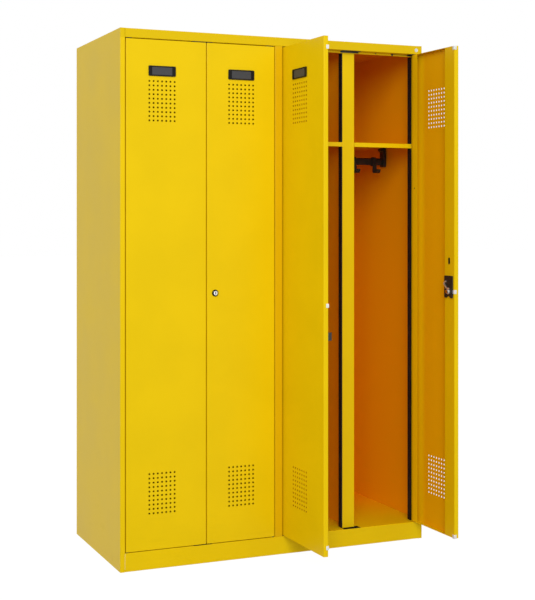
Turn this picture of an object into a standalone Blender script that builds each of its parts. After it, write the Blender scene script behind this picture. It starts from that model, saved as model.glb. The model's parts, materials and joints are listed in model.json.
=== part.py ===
"""Clean and dirty clothes locker for two people.

Each person has a pair of doors that close towards each other over a partition post:
one compartment for clean clothes, one for dirty. The left pair is closed, and the right
pair stands open. X runs along the front, Y runs from the doors to the back, Z is up, and
the origin lies on the ground under the middle of the carcass.
"""

import math

import bmesh
import bpy
from mathutils import Matrix, Vector

# Carcass
locker_width = 1.166
locker_depth = 0.500
locker_height = 1.800
sheet = 0.001
bend_radius = 0.0015
bend_steps = 2
rear_flange = 0.020
foot_flange = 0.020
seam = 0.0003
overrun = 0.004

# Front frame
side_stile_width = 0.017
centre_stile_width = 0.028
top_rail_height = 0.031
bottom_rail_height = 0.062
rail_base_return = 0.025
pocket_depth = 0.020
stop_lip_width = 0.017
stop_lip_return = 0.020
stop_flange_drop = 0.0075

# Bearer under the middle of the floor
bearer_width = 0.030
bearer_flange = 0.015

# Doors
door_gap = 0.003
door_depth = 0.017
wide_door_width = 0.288
hinge_lip = 0.033
lock_lip = 0.055
pivot_from_edge = 0.0044
pivot_from_face = 0.0044
left_door_open_degrees = 89.0
right_door_open_degrees = 91.0

# Hinge pins
pin_radius = 0.002
pin_reach = 0.010
pin_head_radius = 0.0029
pin_head_height = 0.002
pin_collar_radius = 0.0038
pin_sides = 8

# Perforated vents and label holder
vent_columns = 7
vent_rows = 10
vent_column_pitch = 0.0151
vent_row_pitch = 0.0146
vent_hole_radius = 0.004
vent_hole_sides = 4
upper_vent_drop = 0.204
lower_vent_rise = 0.187
fittings_from_hinge_edge = 0.1275
label_width = 0.097
label_height = 0.034
label_depth = 0.003
label_rim = 0.003
label_end_rim = 0.006
label_recess = 0.0012
label_corner = 0.003
label_drop = 0.104

# Lock
lock_from_edge = 0.030
lock_ring_radius = 0.0112
lock_ring_depth = 0.0022
lock_plug_radius = 0.0082
lock_plug_proud = 0.0012
lock_sides = 14
key_slot_width = 0.0016
key_slot_height = 0.0095
key_slot_depth = 0.005
lock_case_width = 0.0455
lock_case_from_edge = 0.0075
lock_case_rise = 0.055
lock_case_drop = 0.0215
lock_case_depth = 0.004
lock_case_corner = 0.003
lock_arch_width = 0.020
lock_arch_height = 0.0065
lock_arch_steps = 5
cam_thickness = 0.002
cam_hub_radius = 0.0095
cam_width = 0.0045
cam_root_back = 0.007
cam_root_rise = 0.0105
cam_knee_out = 0.0085
cam_knee_rise = 0.012
cam_elbow_out = 0.0265
cam_elbow_rise = 0.0295
cam_tip_out = 0.011
cam_tip_rise = 0.0355
cam_bend_radius = 0.005
cam_bend_steps = 3
cam_screw_radius = 0.0032
cam_nut_radius = 0.006
cam_nut_depth = 0.006
rod_slot_width = 0.006
rod_slot_height = 0.022
rod_slot_above_lock = 0.1065

# Catch on the wide doors
catch_below_middle = 0.1385
catch_plate_height = 0.046
catch_plate_width = 0.0075
catch_plate_depth = 0.004
catch_tongue_height = 0.027
catch_tongue_reach = 0.045
catch_tongue_thickness = 0.005
catch_tongue_lean = 0.0065
catch_nose = 0.006

# Partition posts
post_width = 0.052
post_return = 0.021
post_overlap = 0.045
strike_depth = 0.006
strike_height = 0.034
strike_above_lock = 0.0215
partition_front_flange = 0.018
slot_past_post = 0.016
slot_from_front = 0.003
foot_slot_depth = 0.028
head_slot_depth = 0.0165

# Shelves
hat_space_height = 0.3265
shelf_thickness = 0.0155
shelf_corner_clearance = 0.001

# Coat rails
rail_height = 0.026
rail_thickness = 0.012
rail_drop = 0.0535
rail_rib_depth = 0.001
bracket_width = 0.012
bracket_depth = 0.026
bracket_below_rail = 0.007
bracket_nose = 0.008
bracket_nose_height = 0.012
bracket_nose_drop = 0.004
bracket_corner = 0.003

# Coat hooks
hooks_per_rail = 3
hook_end_room = 0.0285
hook_shift = 0.0095
hook_thickness = 0.0035
hook_clearance = 0.0004
hook_top_width = 0.013
hook_bottom_width = 0.019
hook_drop = 0.0433
hook_prong_reach = 0.022
hook_prong_rise = 0.013
hook_prong_lean = 0.006
hook_bend_radius = 0.0022
hook_bowl_radius = 0.008
hook_bowl_steps = 3

# Colours, as red, green, blue, with roughness and metallic value
painted_yellow = ((0.82, 0.52, 0.004), 0.42, 0.0)
black_plastic = ((0.012, 0.012, 0.013), 0.45, 0.0)
slate_plastic = ((0.045, 0.05, 0.055), 0.4, 0.0)
bright_chrome = ((0.72, 0.72, 0.74), 0.18, 1.0)
zinc_steel = ((0.56, 0.56, 0.54), 0.35, 1.0)

# Places that follow from the sizes
left_x = -locker_width / 2
right_x = locker_width / 2
front_y = -locker_depth / 2
back_y = locker_depth / 2
inner_back_y = back_y - sheet - seam
lip_y = front_y + pocket_depth
floor_z = bottom_rail_height
header_z = locker_height - top_rail_height
stop_flange_z = header_z - stop_flange_drop
door_bottom_z = floor_z + door_gap
door_top_z = header_z - door_gap
door_middle_z = (door_bottom_z + door_top_z) / 2
shelf_top_z = header_z - hat_space_height
shelf_bottom_z = shelf_top_z - shelf_thickness
rail_z = shelf_top_z - sheet - rail_drop
rail_y = 0.0
doorway_width = (locker_width - side_stile_width * 2 - centre_stile_width) / 2
narrow_door_width = doorway_width - wide_door_width - door_gap * 3
lock_z = door_middle_z
lock_case_y = door_depth + seam
cam_y = lock_case_y + lock_case_depth + seam
pin_hole_radius = pin_radius + seam


# Outlines

def rounded_path(points, radius, steps):
    """Give an open path a round bend of one radius at each of its inner corners."""
    path = [Vector(points[0])]
    for before, corner, after in zip(points, points[1:], points[2:]):
        corner = Vector(corner)
        to_before = (Vector(before) - corner).normalized()
        to_after = (Vector(after) - corner).normalized()
        half_angle = to_before.angle(to_after) / 2
        centre = corner + (to_before + to_after).normalized() * radius / math.sin(half_angle)
        reach = radius / math.tan(half_angle)
        start = corner + to_before * reach - centre
        turn = start.angle_signed(corner + to_after * reach - centre)
        for step in range(steps + 1):
            path.append(centre + Matrix.Rotation(-turn * step / steps, 2) @ start)
    path.append(Vector(points[-1]))
    return path


def offset_path(path, distance):
    """Move a path sideways, with mitred corners."""
    moved = []
    for index, point in enumerate(path):
        into = (point - path[index - 1]).normalized() if index else None
        out = (path[index + 1] - point).normalized() if index + 1 < len(path) else None
        into = into or out
        out = out or into
        normal = Vector((-into.y - out.y, into.x + out.x)).normalized()
        moved.append(point + normal * distance / normal.dot(Vector((-into.y, into.x))))
    return moved


def folded_outline(points, thickness=sheet, radius=bend_radius, steps=bend_steps):
    """Outline of a folded strip whose middle runs along the points."""
    path = rounded_path(points, radius, steps)
    return offset_path(path, thickness / 2) + offset_path(path, -thickness / 2)[::-1]


def rectangle(low, high):
    """Outline of a rectangle between two corners."""
    return [(low[0], low[1]), (high[0], low[1]), (high[0], high[1]), (low[0], high[1])]


def round_cornered(outline, radius, steps):
    """Round all corners of a closed outline."""
    closed = list(outline) + list(outline[:2])
    return rounded_path(closed, radius, steps)[1:-1]


def arc(centre, radius, start_degrees, end_degrees, steps):
    """Points along an arc, both ends among them."""
    points = []
    for step in range(steps + 1):
        angle = math.radians(start_degrees + (end_degrees - start_degrees) * step / steps)
        points.append((centre[0] + math.cos(angle) * radius, centre[1] + math.sin(angle) * radius))
    return points


def regular(centre, radius, sides):
    """Outline of a round shape with a number of flat sides."""
    half_side = math.degrees(math.pi / sides)
    return arc(centre, radius, half_side, 360 + half_side, sides)[:-1]


# Solids

def finish_mesh(name, bm):
    """Close off a solid: turn its faces outwards and make it a mesh."""
    bmesh.ops.recalc_face_normals(bm, faces=bm.faces)
    mesh = bpy.data.meshes.new(name)
    bm.to_mesh(mesh)
    bm.free()
    return mesh


def prism(name, outline, low, high, along="Z"):
    """Extrude an outline along X, Y or Z, from low to high."""
    lift = {"X": (1, 0, 0), "Y": (0, 1, 0), "Z": (0, 0, 1)}[along]
    bm = bmesh.new()
    corners = []
    for first, second in outline:
        place = {"X": (low, first, second), "Y": (first, low, second), "Z": (first, second, low)}
        corners.append(bm.verts.new(place[along]))
    face = bm.faces.new(corners)
    grown = bmesh.ops.extrude_face_region(bm, geom=[face])
    top = [item for item in grown["geom"] if isinstance(item, bmesh.types.BMVert)]
    bmesh.ops.translate(bm, verts=top, vec=Vector(lift) * (high - low))
    return finish_mesh(name, bm)


def block(name, low, high):
    """A plain block between two corners."""
    return prism(name, rectangle(low[:2], high[:2]), low[2], high[2])


def turned(name, profile, sides, along="Z"):
    """Turn a closed profile of radius and height round an axis."""
    bm = bmesh.new()
    rings = []
    for step in range(sides):
        angle = math.tau * (step + 0.5) / sides
        ring = []
        for radius, height in profile:
            across = (math.cos(angle) * radius, math.sin(angle) * radius)
            place = (across[0], height, across[1]) if along == "Y" else (*across, height)
            ring.append(bm.verts.new(place))
        rings.append(ring)
    for index, ring in enumerate(rings):
        following = rings[(index + 1) % sides]
        for first in range(len(profile)):
            second = (first + 1) % len(profile)
            bm.faces.new((ring[first], ring[second], following[second], following[first]))
    bmesh.ops.remove_doubles(bm, verts=bm.verts, dist=seam / 10)
    return finish_mesh(name, bm)


def combine(mesh, tools, operation):
    """Cut tools from a mesh, or join them to it, and give the resulting mesh."""
    base = bpy.data.objects.new("base", mesh)
    bpy.context.scene.collection.objects.link(base)
    helpers = []
    for tool in tools:
        helper = bpy.data.objects.new("tool", tool)
        bpy.context.scene.collection.objects.link(helper)
        modifier = base.modifiers.new(operation.lower(), "BOOLEAN")
        modifier.operation = operation
        modifier.solver = "EXACT"
        modifier.object = helper
        helpers.append(helper)
    bpy.context.view_layer.update()
    depsgraph = bpy.context.evaluated_depsgraph_get()
    result = bpy.data.meshes.new_from_object(base.evaluated_get(depsgraph))
    result.name = mesh.name
    for spent in [base, *helpers]:
        bpy.data.objects.remove(spent)
    return result


def cut(mesh, tools):
    return combine(mesh, tools, "DIFFERENCE")


def join(mesh, tools):
    return combine(mesh, tools, "UNION")


def several(name, meshes):
    """Put separate meshes into one, for use as one cutter."""
    bm = bmesh.new()
    for mesh in meshes:
        bm.from_mesh(mesh)
    return finish_mesh(name, bm)


# Scene

def make_material(name, finish):
    colour, roughness, metallic = finish
    material = bpy.data.materials.new(name)
    material.use_nodes = True
    shader = material.node_tree.nodes["Principled BSDF"]
    shader.inputs["Base Color"].default_value = (*colour, 1)
    shader.inputs["Roughness"].default_value = roughness
    shader.inputs["Metallic"].default_value = metallic
    return material


def place(name, mesh, finish, parent=None, location=(0, 0, 0), smooth=False):
    """Put a mesh into the scene as a named piece with its own material."""
    piece = bpy.data.objects.new(name, mesh)
    bpy.context.scene.collection.objects.link(piece)
    piece.location = location
    piece.parent = parent
    mesh.materials.clear()
    mesh.materials.append(make_material(name + "_finish", finish))
    if smooth:
        mesh.shade_smooth()
        mesh.set_sharp_from_angle(angle=math.radians(40))
    return piece


def axis_empty(name, location, turn=0.0, parent=None):
    """An empty on a joint's axis, which carries what turns there."""
    empty = bpy.data.objects.new(name, None)
    bpy.context.scene.collection.objects.link(empty)
    empty.location = location
    empty.rotation_euler = (0, 0, turn)
    empty.parent = parent
    return empty


# Frame members at the sides and in the middle

def lip_points(edge, side):
    """Door pocket, stop lip and lip return behind a stile's edge, from front to back."""
    half = sheet / 2
    pocket_x = edge - side * half
    lip_x = edge + side * (stop_lip_width - half)
    return [
        (pocket_x, front_y + half),
        (pocket_x, lip_y + half),
        (lip_x, lip_y + half),
        (lip_x, lip_y + stop_lip_return + half),
    ]


def lip_end_cutters(edge, side, overlap=0):
    """Shorten a stop lip to the height between the floor and the header's stop flange."""
    near = edge - side * overlap
    far = edge + side * (stop_lip_width + overrun)
    low_y = lip_y - bend_radius
    high_y = lip_y + stop_lip_return + overrun
    low_x, high_x = min(near, far), max(near, far)
    below = block("lip_foot", (low_x, low_y, -overrun), (high_x, high_y, floor_z + seam))
    above = block(
        "lip_head", (low_x, low_y, stop_flange_z - seam), (high_x, high_y, locker_height + overrun)
    )
    return [below, above]


def side_panel_mesh(side):
    """Side wall folded into a rear flange and, at the front, stile, door pocket and lip."""
    half = sheet / 2
    outer = side * (locker_width / 2 - half)
    edge = side * (locker_width / 2 - side_stile_width)
    points = [
        (side * (locker_width / 2 - rear_flange), inner_back_y - half),
        (outer, inner_back_y - half),
        (outer, front_y + half),
        *lip_points(edge, -side),
    ]
    panel = prism("side_panel", folded_outline(points), 0, locker_height)
    skin = side * (locker_width / 2 - sheet - seam)
    inner = side * (locker_width / 2 - side_stile_width - stop_lip_width - overrun)
    under_roof = block(
        "under_roof",
        (min(skin, inner), front_y + sheet + seam, locker_height - sheet - seam),
        (max(skin, inner), lip_y + stop_lip_return + overrun, locker_height + overrun),
    )
    panel = cut(panel, [under_roof, *lip_end_cutters(edge, -side)])
    flange_edge = side * (locker_width / 2 - foot_flange)
    flange = block(
        "foot_flange",
        (min(outer, flange_edge), front_y + rail_base_return + seam, 0),
        (max(outer, flange_edge), inner_back_y - half, sheet),
    )
    return join(panel, [flange])


def centre_stile_mesh():
    """Hat-shaped stile in the middle of the front, with a stop lip on each side."""
    left_edge = -centre_stile_width / 2
    right_edge = centre_stile_width / 2
    points = [*lip_points(left_edge, -1)[::-1], *lip_points(right_edge, 1)]
    stile = prism("centre_stile", folded_outline(points), floor_z + seam, header_z - seam)
    overlap = centre_stile_width / 2
    heads = [lip_end_cutters(left_edge, -1, overlap)[1], lip_end_cutters(right_edge, 1, overlap)[1]]
    return cut(stile, heads)


def centre_wall_mesh():
    """Wall between the two people's halves, flanged inside the stile and at the back."""
    half = sheet / 2
    front = front_y + sheet + seam + half
    points = [
        (centre_stile_width / 2 - sheet - bend_radius - seam, front),
        (0, front),
        (0, inner_back_y - half),
        (rear_flange, inner_back_y - half),
    ]
    wall = prism(
        "centre_wall", folded_outline(points), floor_z + seam, locker_height - sheet - seam
    )
    header_room = block(
        "header_room",
        (-centre_stile_width, front_y - overrun, stop_flange_z - seam),
        (centre_stile_width, lip_y + sheet + seam, locker_height),
    )
    return cut(wall, [header_room])


# Partition posts and partitions

def post_left(half_x):
    """Left edge of the post in the half of the locker that starts at half_x."""
    first_stile = side_stile_width if half_x < 0 else centre_stile_width / 2
    return half_x + first_stile + door_gap + wide_door_width - post_overlap


def post_mesh(half_x):
    """Post that both doors close against, with a strike slot for the lock's cam."""
    half = sheet / 2
    left = post_left(half_x)
    right = left + post_width
    back = lip_y + post_return
    points = [
        (left + half, back),
        (left + half, lip_y + half),
        (right - half, lip_y + half),
        (right - half, back),
    ]
    post = prism("post", folded_outline(points), floor_z + seam, header_z - seam)
    strike_y = lip_y + sheet
    strike_middle = lock_z + strike_above_lock
    strike = block(
        "strike",
        (right - sheet - overrun, strike_y, strike_middle - strike_height / 2),
        (right + overrun, strike_y + strike_depth, strike_middle + strike_height / 2),
    )
    return cut(post, [strike])


def partition_mesh(half_x):
    """Partition that stands in the post's open back and divides the two compartments."""
    half = sheet / 2
    middle = post_left(half_x) + post_width / 2
    front = lip_y + sheet + seam + half
    points = [
        (middle - partition_front_flange, front),
        (middle, front),
        (middle, inner_back_y - half),
        (middle + rear_flange, inner_back_y - half),
    ]
    return prism("partition", folded_outline(points), floor_z + seam, locker_height - sheet - seam)


# Roof, floor and back

def post_slot(half_x, depth, low_z, high_z):
    """Slot in front of and beside a post, in the header or in the floor."""
    left = post_left(half_x)
    return block(
        "post_slot",
        (left, front_y + slot_from_front, low_z),
        (left + post_width + slot_past_post, front_y + slot_from_front + depth, high_z),
    )


def corner_pair(reach, low, high):
    """Blocks at both sides that reach in from the side panels, between two places in y and z."""
    pair = []
    for side in (-1, 1):
        outer = side * (locker_width / 2 + overrun)
        inner = side * (locker_width / 2 - reach)
        low_x, high_x = min(outer, inner), max(outer, inner)
        pair.append(block("corner", (low_x, *low), (high_x, *high)))
    return pair


def side_panel_room(low_z, high_z):
    """Room for the folds of the side panels in the corners of the roof or floor sheet."""
    stile = side_stile_width + seam
    flange = rear_flange + seam
    front = corner_pair(stile, (front_y - overrun, low_z), (lip_y + sheet + seam, high_z))
    flange_y = inner_back_y - sheet - bend_radius
    rear = corner_pair(flange, (flange_y, -overrun), (back_y, locker_height + overrun))
    return [*front, *rear]


def roof_mesh(halves):
    """Roof sheet, folded down into the header, door pocket and stop flange."""
    half = sheet / 2
    points = [
        (lip_y + half, stop_flange_z),
        (lip_y + half, header_z + half),
        (front_y + half, header_z + half),
        (front_y + half, locker_height - half),
        (inner_back_y, locker_height - half),
    ]
    roof = prism(
        "roof", folded_outline(points), left_x + sheet + seam, right_x - sheet - seam, "X"
    )
    cutters = side_panel_room(-overrun, locker_height - sheet - seam)
    cutters += corner_pair(
        side_stile_width + seam,
        (front_y - overrun, header_z - overrun),
        (front_y + sheet + seam, locker_height + overrun),
    )
    for half_x in halves:
        left = post_left(half_x)
        cutters.append(post_slot(half_x, head_slot_depth, header_z - seam, header_z + sheet + seam))
        cutters.append(block(
            "flange_notch",
            (left - seam, lip_y - sheet, stop_flange_z - overrun),
            (left + post_width + seam, lip_y + sheet + seam, header_z + sheet + seam),
        ))
    return cut(roof, cutters + top_pin_holes(halves))


def floor_mesh(halves):
    """Floor sheet, folded down at the front into the bottom rail and its base return."""
    half = sheet / 2
    points = [
        (front_y + rail_base_return, half),
        (front_y + half, half),
        (front_y + half, floor_z - half),
        (inner_back_y, floor_z - half),
    ]
    floor = prism(
        "floor", folded_outline(points), left_x + sheet + seam, right_x - sheet - seam, "X"
    )
    cutters = side_panel_room(-overrun, floor_z + overrun)
    cutters += corner_pair(
        foot_flange + seam,
        (front_y + sheet + seam, -overrun),
        (front_y + rail_base_return + overrun, sheet + seam),
    )
    for half_x in halves:
        cutters.append(
            post_slot(half_x, foot_slot_depth, floor_z - sheet - seam, floor_z + seam)
        )
    return cut(floor, cutters + bottom_pin_holes(halves))


def back_mesh():
    return block("back", (left_x, back_y - sheet, 0), (right_x, back_y, locker_height))


def bearer_mesh():
    """Hat-shaped bearer that carries the middle of the floor."""
    half = sheet / 2
    top = floor_z - sheet - seam - half
    side_x = bearer_width / 2 - half
    points = [
        (-side_x - bearer_flange, top),
        (-side_x, top),
        (-side_x, half),
        (side_x, half),
        (side_x, top),
        (side_x + bearer_flange, top),
    ]
    return prism(
        "bearer", folded_outline(points), front_y + rail_base_return + seam, inner_back_y, "Y"
    )


# Doors and hinge pins

def door_places(halves):
    """Number, hinge side, hinge axis and width of each door, from left to right."""
    places = []
    for index, half_x in enumerate(halves):
        first = half_x + (side_stile_width if half_x < 0 else centre_stile_width / 2)
        last = first + doorway_width
        wide_axis = first + door_gap + pivot_from_edge
        narrow_axis = last - door_gap - pivot_from_edge
        places.append((index * 2 + 1, 1, wide_axis, wide_door_width))
        places.append((index * 2 + 2, -1, narrow_axis, narrow_door_width))
    return places


def pin_holes(halves, low_z, high_z):
    holes = []
    for _number, _side, axis_x, _width in door_places(halves):
        outline = regular((axis_x, front_y + pivot_from_face), pin_hole_radius, pin_sides)
        holes.append(prism("pin_hole", outline, low_z, high_z))
    return holes


def top_pin_holes(halves):
    return pin_holes(halves, header_z - seam, header_z + sheet + seam)


def bottom_pin_holes(halves):
    return pin_holes(halves, floor_z - sheet - seam, floor_z + seam)


def top_pin_mesh():
    """Pin that drops through the header into the door, held by its head."""
    head = header_z + sheet + seam
    profile = [
        (0, door_top_z - pin_reach),
        (pin_radius, door_top_z - pin_reach),
        (pin_radius, head),
        (pin_head_radius, head),
        (pin_head_radius, head + pin_head_height),
        (0, head + pin_head_height),
    ]
    return turned("top_pin", profile, pin_sides)


def bottom_pin_mesh():
    """Pin that stands up through the floor, with the collar that the door turns on."""
    head = floor_z - sheet - seam
    profile = [
        (0, head - pin_head_height),
        (pin_head_radius, head - pin_head_height),
        (pin_head_radius, head),
        (pin_radius, head),
        (pin_radius, floor_z + seam),
        (pin_collar_radius, floor_z + seam),
        (pin_collar_radius, door_bottom_z - seam),
        (pin_radius, door_bottom_z - seam),
        (pin_radius, door_bottom_z + pin_reach),
        (0, door_bottom_z + pin_reach),
    ]
    return turned("bottom_pin", profile, pin_sides)


def on_door(side, along, depth):
    """Place on a door, from its hinge edge and face, in the frame of its hinge axis."""
    return (side * (along - pivot_from_edge), depth - pivot_from_face)


def vent_cutter(side, centre_z):
    """All holes of one perforated field as one cutter."""
    holes = []
    for column in range(vent_columns):
        shift = (column - (vent_columns - 1) / 2) * vent_column_pitch
        centre_x = on_door(side, fittings_from_hinge_edge + shift, 0)[0]
        for row in range(vent_rows):
            height = centre_z + (row - (vent_rows - 1) / 2) * vent_row_pitch
            outline = regular((centre_x, height), vent_hole_radius, vent_hole_sides)
            low = -pivot_from_face - sheet
            holes.append(prism("vent_hole", outline, low, low + sheet * 3, "Y"))
    return several("vent", holes)


def door_mesh(side, width, has_lock):
    """Door pan: a face with returned sides, inner lips, end walls, vents and lock holes."""
    half = sheet / 2
    points = [
        on_door(side, hinge_lip, door_depth - half),
        on_door(side, half, door_depth - half),
        on_door(side, half, half),
        on_door(side, width - half, half),
        on_door(side, width - half, door_depth - half),
        on_door(side, width - lock_lip, door_depth - half),
    ]
    pan = prism("door", folded_outline(points), door_bottom_z, door_top_z)
    corner = bend_radius + half
    end_outline = round_cornered(
        rectangle(on_door(side, 0, 0), on_door(side, width, door_depth)), corner, bend_steps
    )
    ends = [
        prism("door_end", end_outline, door_bottom_z, door_bottom_z + sheet),
        prism("door_end", end_outline, door_top_z - sheet, door_top_z),
    ]
    pan = join(pan, ends)
    pin_outline = regular((0, 0), pin_hole_radius, pin_sides)
    cutters = [
        prism("pin_hole", pin_outline, door_bottom_z - seam, door_bottom_z + sheet + seam),
        prism("pin_hole", pin_outline, door_top_z - sheet - seam, door_top_z + seam),
        vent_cutter(side, door_top_z - upper_vent_drop),
        vent_cutter(side, door_bottom_z + lower_vent_rise),
    ]
    if has_lock:
        lock_x = on_door(side, width - lock_from_edge, 0)[0]
        barrel = regular((lock_x, lock_z), lock_plug_radius + seam * 2, lock_sides)
        cutters.append(prism(
            "lock_hole", barrel, -pivot_from_face - overrun,
            door_depth - pivot_from_face + overrun, "Y"
        ))
        slot = round_cornered(
            rectangle(
                (lock_x - rod_slot_width / 2, lock_z + rod_slot_above_lock - rod_slot_height / 2),
                (lock_x + rod_slot_width / 2, lock_z + rod_slot_above_lock + rod_slot_height / 2),
            ),
            rod_slot_width / 3,
            bend_steps,
        )
        inner = door_depth - pivot_from_face
        cutters.append(prism("rod_slot", slot, inner - sheet * 2, inner + sheet, "Y"))
    return cut(pan, cutters)


def label_holder_mesh(side):
    """Label holder with a raised rim round a sunken field."""
    centre_x = on_door(side, fittings_from_hinge_edge, 0)[0]
    centre_z = door_top_z - label_drop
    back = -pivot_from_face - seam
    outline = round_cornered(
        rectangle(
            (centre_x - label_width / 2, centre_z - label_height / 2),
            (centre_x + label_width / 2, centre_z + label_height / 2),
        ),
        label_corner,
        bend_steps,
    )
    holder = prism("label_holder", outline, back - label_depth, back, "Y")
    field = block(
        "label_field",
        (centre_x - label_width / 2 + label_end_rim, back - label_depth - overrun,
         centre_z - label_height / 2 + label_rim),
        (centre_x + label_width / 2 - label_end_rim, back - label_depth + label_recess,
         centre_z + label_height / 2 - label_rim),
    )
    return cut(holder, [field])


# Lock, turned about its own axis

def lock_ring_mesh():
    """Ring round the lock's plug, on the door's face."""
    inner = lock_plug_radius + seam * 2
    lip = lock_ring_depth / 3
    back = -pivot_from_face - seam
    profile = [
        (inner, back),
        (lock_ring_radius, back),
        (lock_ring_radius, back - lock_ring_depth + lip),
        (lock_ring_radius - lip, back - lock_ring_depth),
        (inner, back - lock_ring_depth),
    ]
    return turned("lock_ring", profile, lock_sides, "Y")


def lock_plug_mesh():
    """Plug with its key slot, and at the back the nut that holds the cam."""
    front = -pivot_from_face - lock_plug_proud - lock_ring_depth / 2
    cam_front = cam_y - pivot_from_face
    cam_back = cam_front + cam_thickness
    profile = [
        (0, front),
        (lock_plug_radius, front),
        (lock_plug_radius, cam_front - seam),
        (cam_screw_radius, cam_front - seam),
        (cam_screw_radius, cam_back + seam),
        (cam_nut_radius, cam_back + seam),
        (cam_nut_radius, cam_back + cam_nut_depth),
        (0, cam_back + cam_nut_depth),
    ]
    plug = turned("lock_plug", profile, lock_sides, "Y")
    slot = block(
        "key_slot",
        (-key_slot_width / 2, front - overrun, -key_slot_height / 2),
        (key_slot_width / 2, front + key_slot_depth, key_slot_height / 2),
    )
    return cut(plug, [slot])


def cam_mesh(side):
    """Hook-shaped cam that turns into the post's strike slot."""
    points = [
        (-cam_root_back, cam_root_rise),
        (cam_knee_out, cam_knee_rise),
        (cam_elbow_out, cam_elbow_rise),
        (cam_tip_out, cam_tip_rise),
    ]
    hook = folded_outline(points, cam_width, cam_bend_radius, cam_bend_steps)
    placed = [(-side * out, rise) for out, rise in hook]
    front = cam_y - pivot_from_face
    back = front + cam_thickness
    hub = prism("cam_hub", regular((0, 0), cam_hub_radius, lock_sides), front, back, "Y")
    cam = join(hub, [prism("cam_hook", placed, front, back, "Y")])
    hole = regular((0, 0), cam_screw_radius + seam, lock_sides // 2)
    return cut(cam, [prism("cam_hole", hole, front - seam, back + seam, "Y")])


def lock_case_mesh(side, width):
    """Lock case on the door's inner lip, with an arch cut from its lower edge."""
    near = width - lock_case_from_edge
    far = near - lock_case_width
    middle = width - lock_from_edge
    bottom = lock_z - lock_case_drop
    top = lock_z + lock_case_rise
    rise = [
        (middle + lock_arch_width / 2 * math.cos(angle), bottom + lock_arch_height * math.sin(angle))
        for angle in (math.pi * step / lock_arch_steps for step in range(lock_arch_steps + 1))
    ]
    upper = [(far, bottom), (far, top), (near, top), (near, bottom)]
    corners = rounded_path(upper, lock_case_corner, bend_steps)
    outline = [(on_door(side, along, 0)[0], height) for along, height in [*corners, *rise]]
    front = lock_case_y - pivot_from_face
    case = prism("lock_case", outline, front, front + lock_case_depth, "Y")
    lock_x = on_door(side, middle, 0)[0]
    barrel = regular((lock_x, lock_z), lock_plug_radius + seam, lock_sides)
    return cut(case, [prism("barrel", barrel, front - overrun, cam_y + overrun, "Y")])


def catch_mesh(side, width):
    """Catch on a wide door's inner lip: a plate, and a tongue that leans past the post."""
    inner = door_depth + seam
    root = width - post_overlap - catch_plate_depth / 2 + seam * 2
    middle_z = door_middle_z - catch_below_middle
    plate_top = inner + catch_plate_depth
    tip = door_depth + catch_tongue_reach
    plate = [
        (root, inner),
        (root, plate_top),
        (root - catch_plate_width, plate_top),
        (root - catch_plate_width, inner),
    ]
    tongue = [
        (root, plate_top - sheet),
        (root - catch_tongue_lean, tip - catch_nose),
        (root - catch_tongue_lean - catch_tongue_thickness / 2, tip),
        (root - catch_tongue_lean - catch_tongue_thickness, tip - catch_nose),
        (root - catch_tongue_thickness, plate_top - sheet),
    ]
    solids = []
    for outline, height in ((plate, catch_plate_height), (tongue, catch_tongue_height)):
        placed = [on_door(side, along, depth) for along, depth in outline]
        solids.append(prism("catch", placed, middle_z - height / 2, middle_z + height / 2))
    return join(solids[0], solids[1:])


# Shelves, coat rails and hooks

def compartments(halves):
    """Inner faces of each compartment: at the walls, and at the frame in front."""
    spaces = []
    for half_x in halves:
        outer_side = half_x < 0
        post = post_left(half_x)
        middle = post + post_width / 2
        first_wall = half_x + (sheet if outer_side else sheet / 2)
        last_wall = half_x + locker_width / 2 - (sheet / 2 if outer_side else sheet)
        first_stile = side_stile_width if outer_side else centre_stile_width / 2
        last_stile = centre_stile_width / 2 if outer_side else side_stile_width
        first_lip = half_x + first_stile + stop_lip_width
        last_lip = half_x + locker_width / 2 - last_stile - stop_lip_width
        spaces.append((first_wall, middle - sheet / 2, first_lip, post))
        spaces.append((middle + sheet / 2, last_wall, post + post_width, last_lip))
    return spaces


def shelf_mesh(space):
    """Hat shelf: a tray turned down on all sides, narrower where it passes the frame."""
    wall_left, wall_right, frame_left, frame_right = space
    shoulder_y = lip_y + max(stop_lip_return, post_return) + shelf_corner_clearance
    rear_lap = sheet + bend_radius

    def outline(inset):
        left = wall_left + seam + inset
        right = wall_right - seam - inset
        front_left = frame_left + seam + inset
        front_right = frame_right - seam - inset
        back = inner_back_y - rear_lap - inset
        shoulder = shoulder_y + inset
        return [
            (front_left, lip_y + inset),
            (front_right, lip_y + inset),
            (front_right, shoulder),
            (right, shoulder),
            (right, back),
            (left, back),
            (left, shoulder),
            (front_left, shoulder),
        ]

    tray = prism("shelf", outline(0), shelf_bottom_z, shelf_top_z)
    hollow = prism("hollow", outline(sheet), shelf_bottom_z - overrun, shelf_top_z - sheet)
    return cut(tray, [hollow])


def rail_outline():
    """Section of the coat rail: flat sides with two ribs, and rounded edges."""
    half_y = rail_thickness / 2
    half_z = rail_height / 2
    groove = rail_rib_depth
    side_shares = (0.62, 0.38, 0.14)
    side = [(half_y, half_z * side_shares[0])]
    side += [(half_y - groove, half_z * side_shares[1]), (half_y, half_z * side_shares[2])]
    lower = [(y, -z) for y, z in side[::-1]]
    edge_share = 0.5
    top = [(half_y * edge_share, half_z), (-half_y * edge_share, half_z)]
    left = [(-y, -z) for y, z in [*side, *lower]]
    bottom = [(-half_y * edge_share, -half_z), (half_y * edge_share, -half_z)]
    section = [*lower[::-1], *side[::-1], *top, *left[::-1], *bottom]
    return [(rail_y + y, rail_z + z) for y, z in section]


def rail_ends(space):
    """Both ends of a coat rail, inside the turned-down sides of the shelf."""
    inset = sheet + seam * 2
    return space[0] + inset, space[1] - inset


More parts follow.
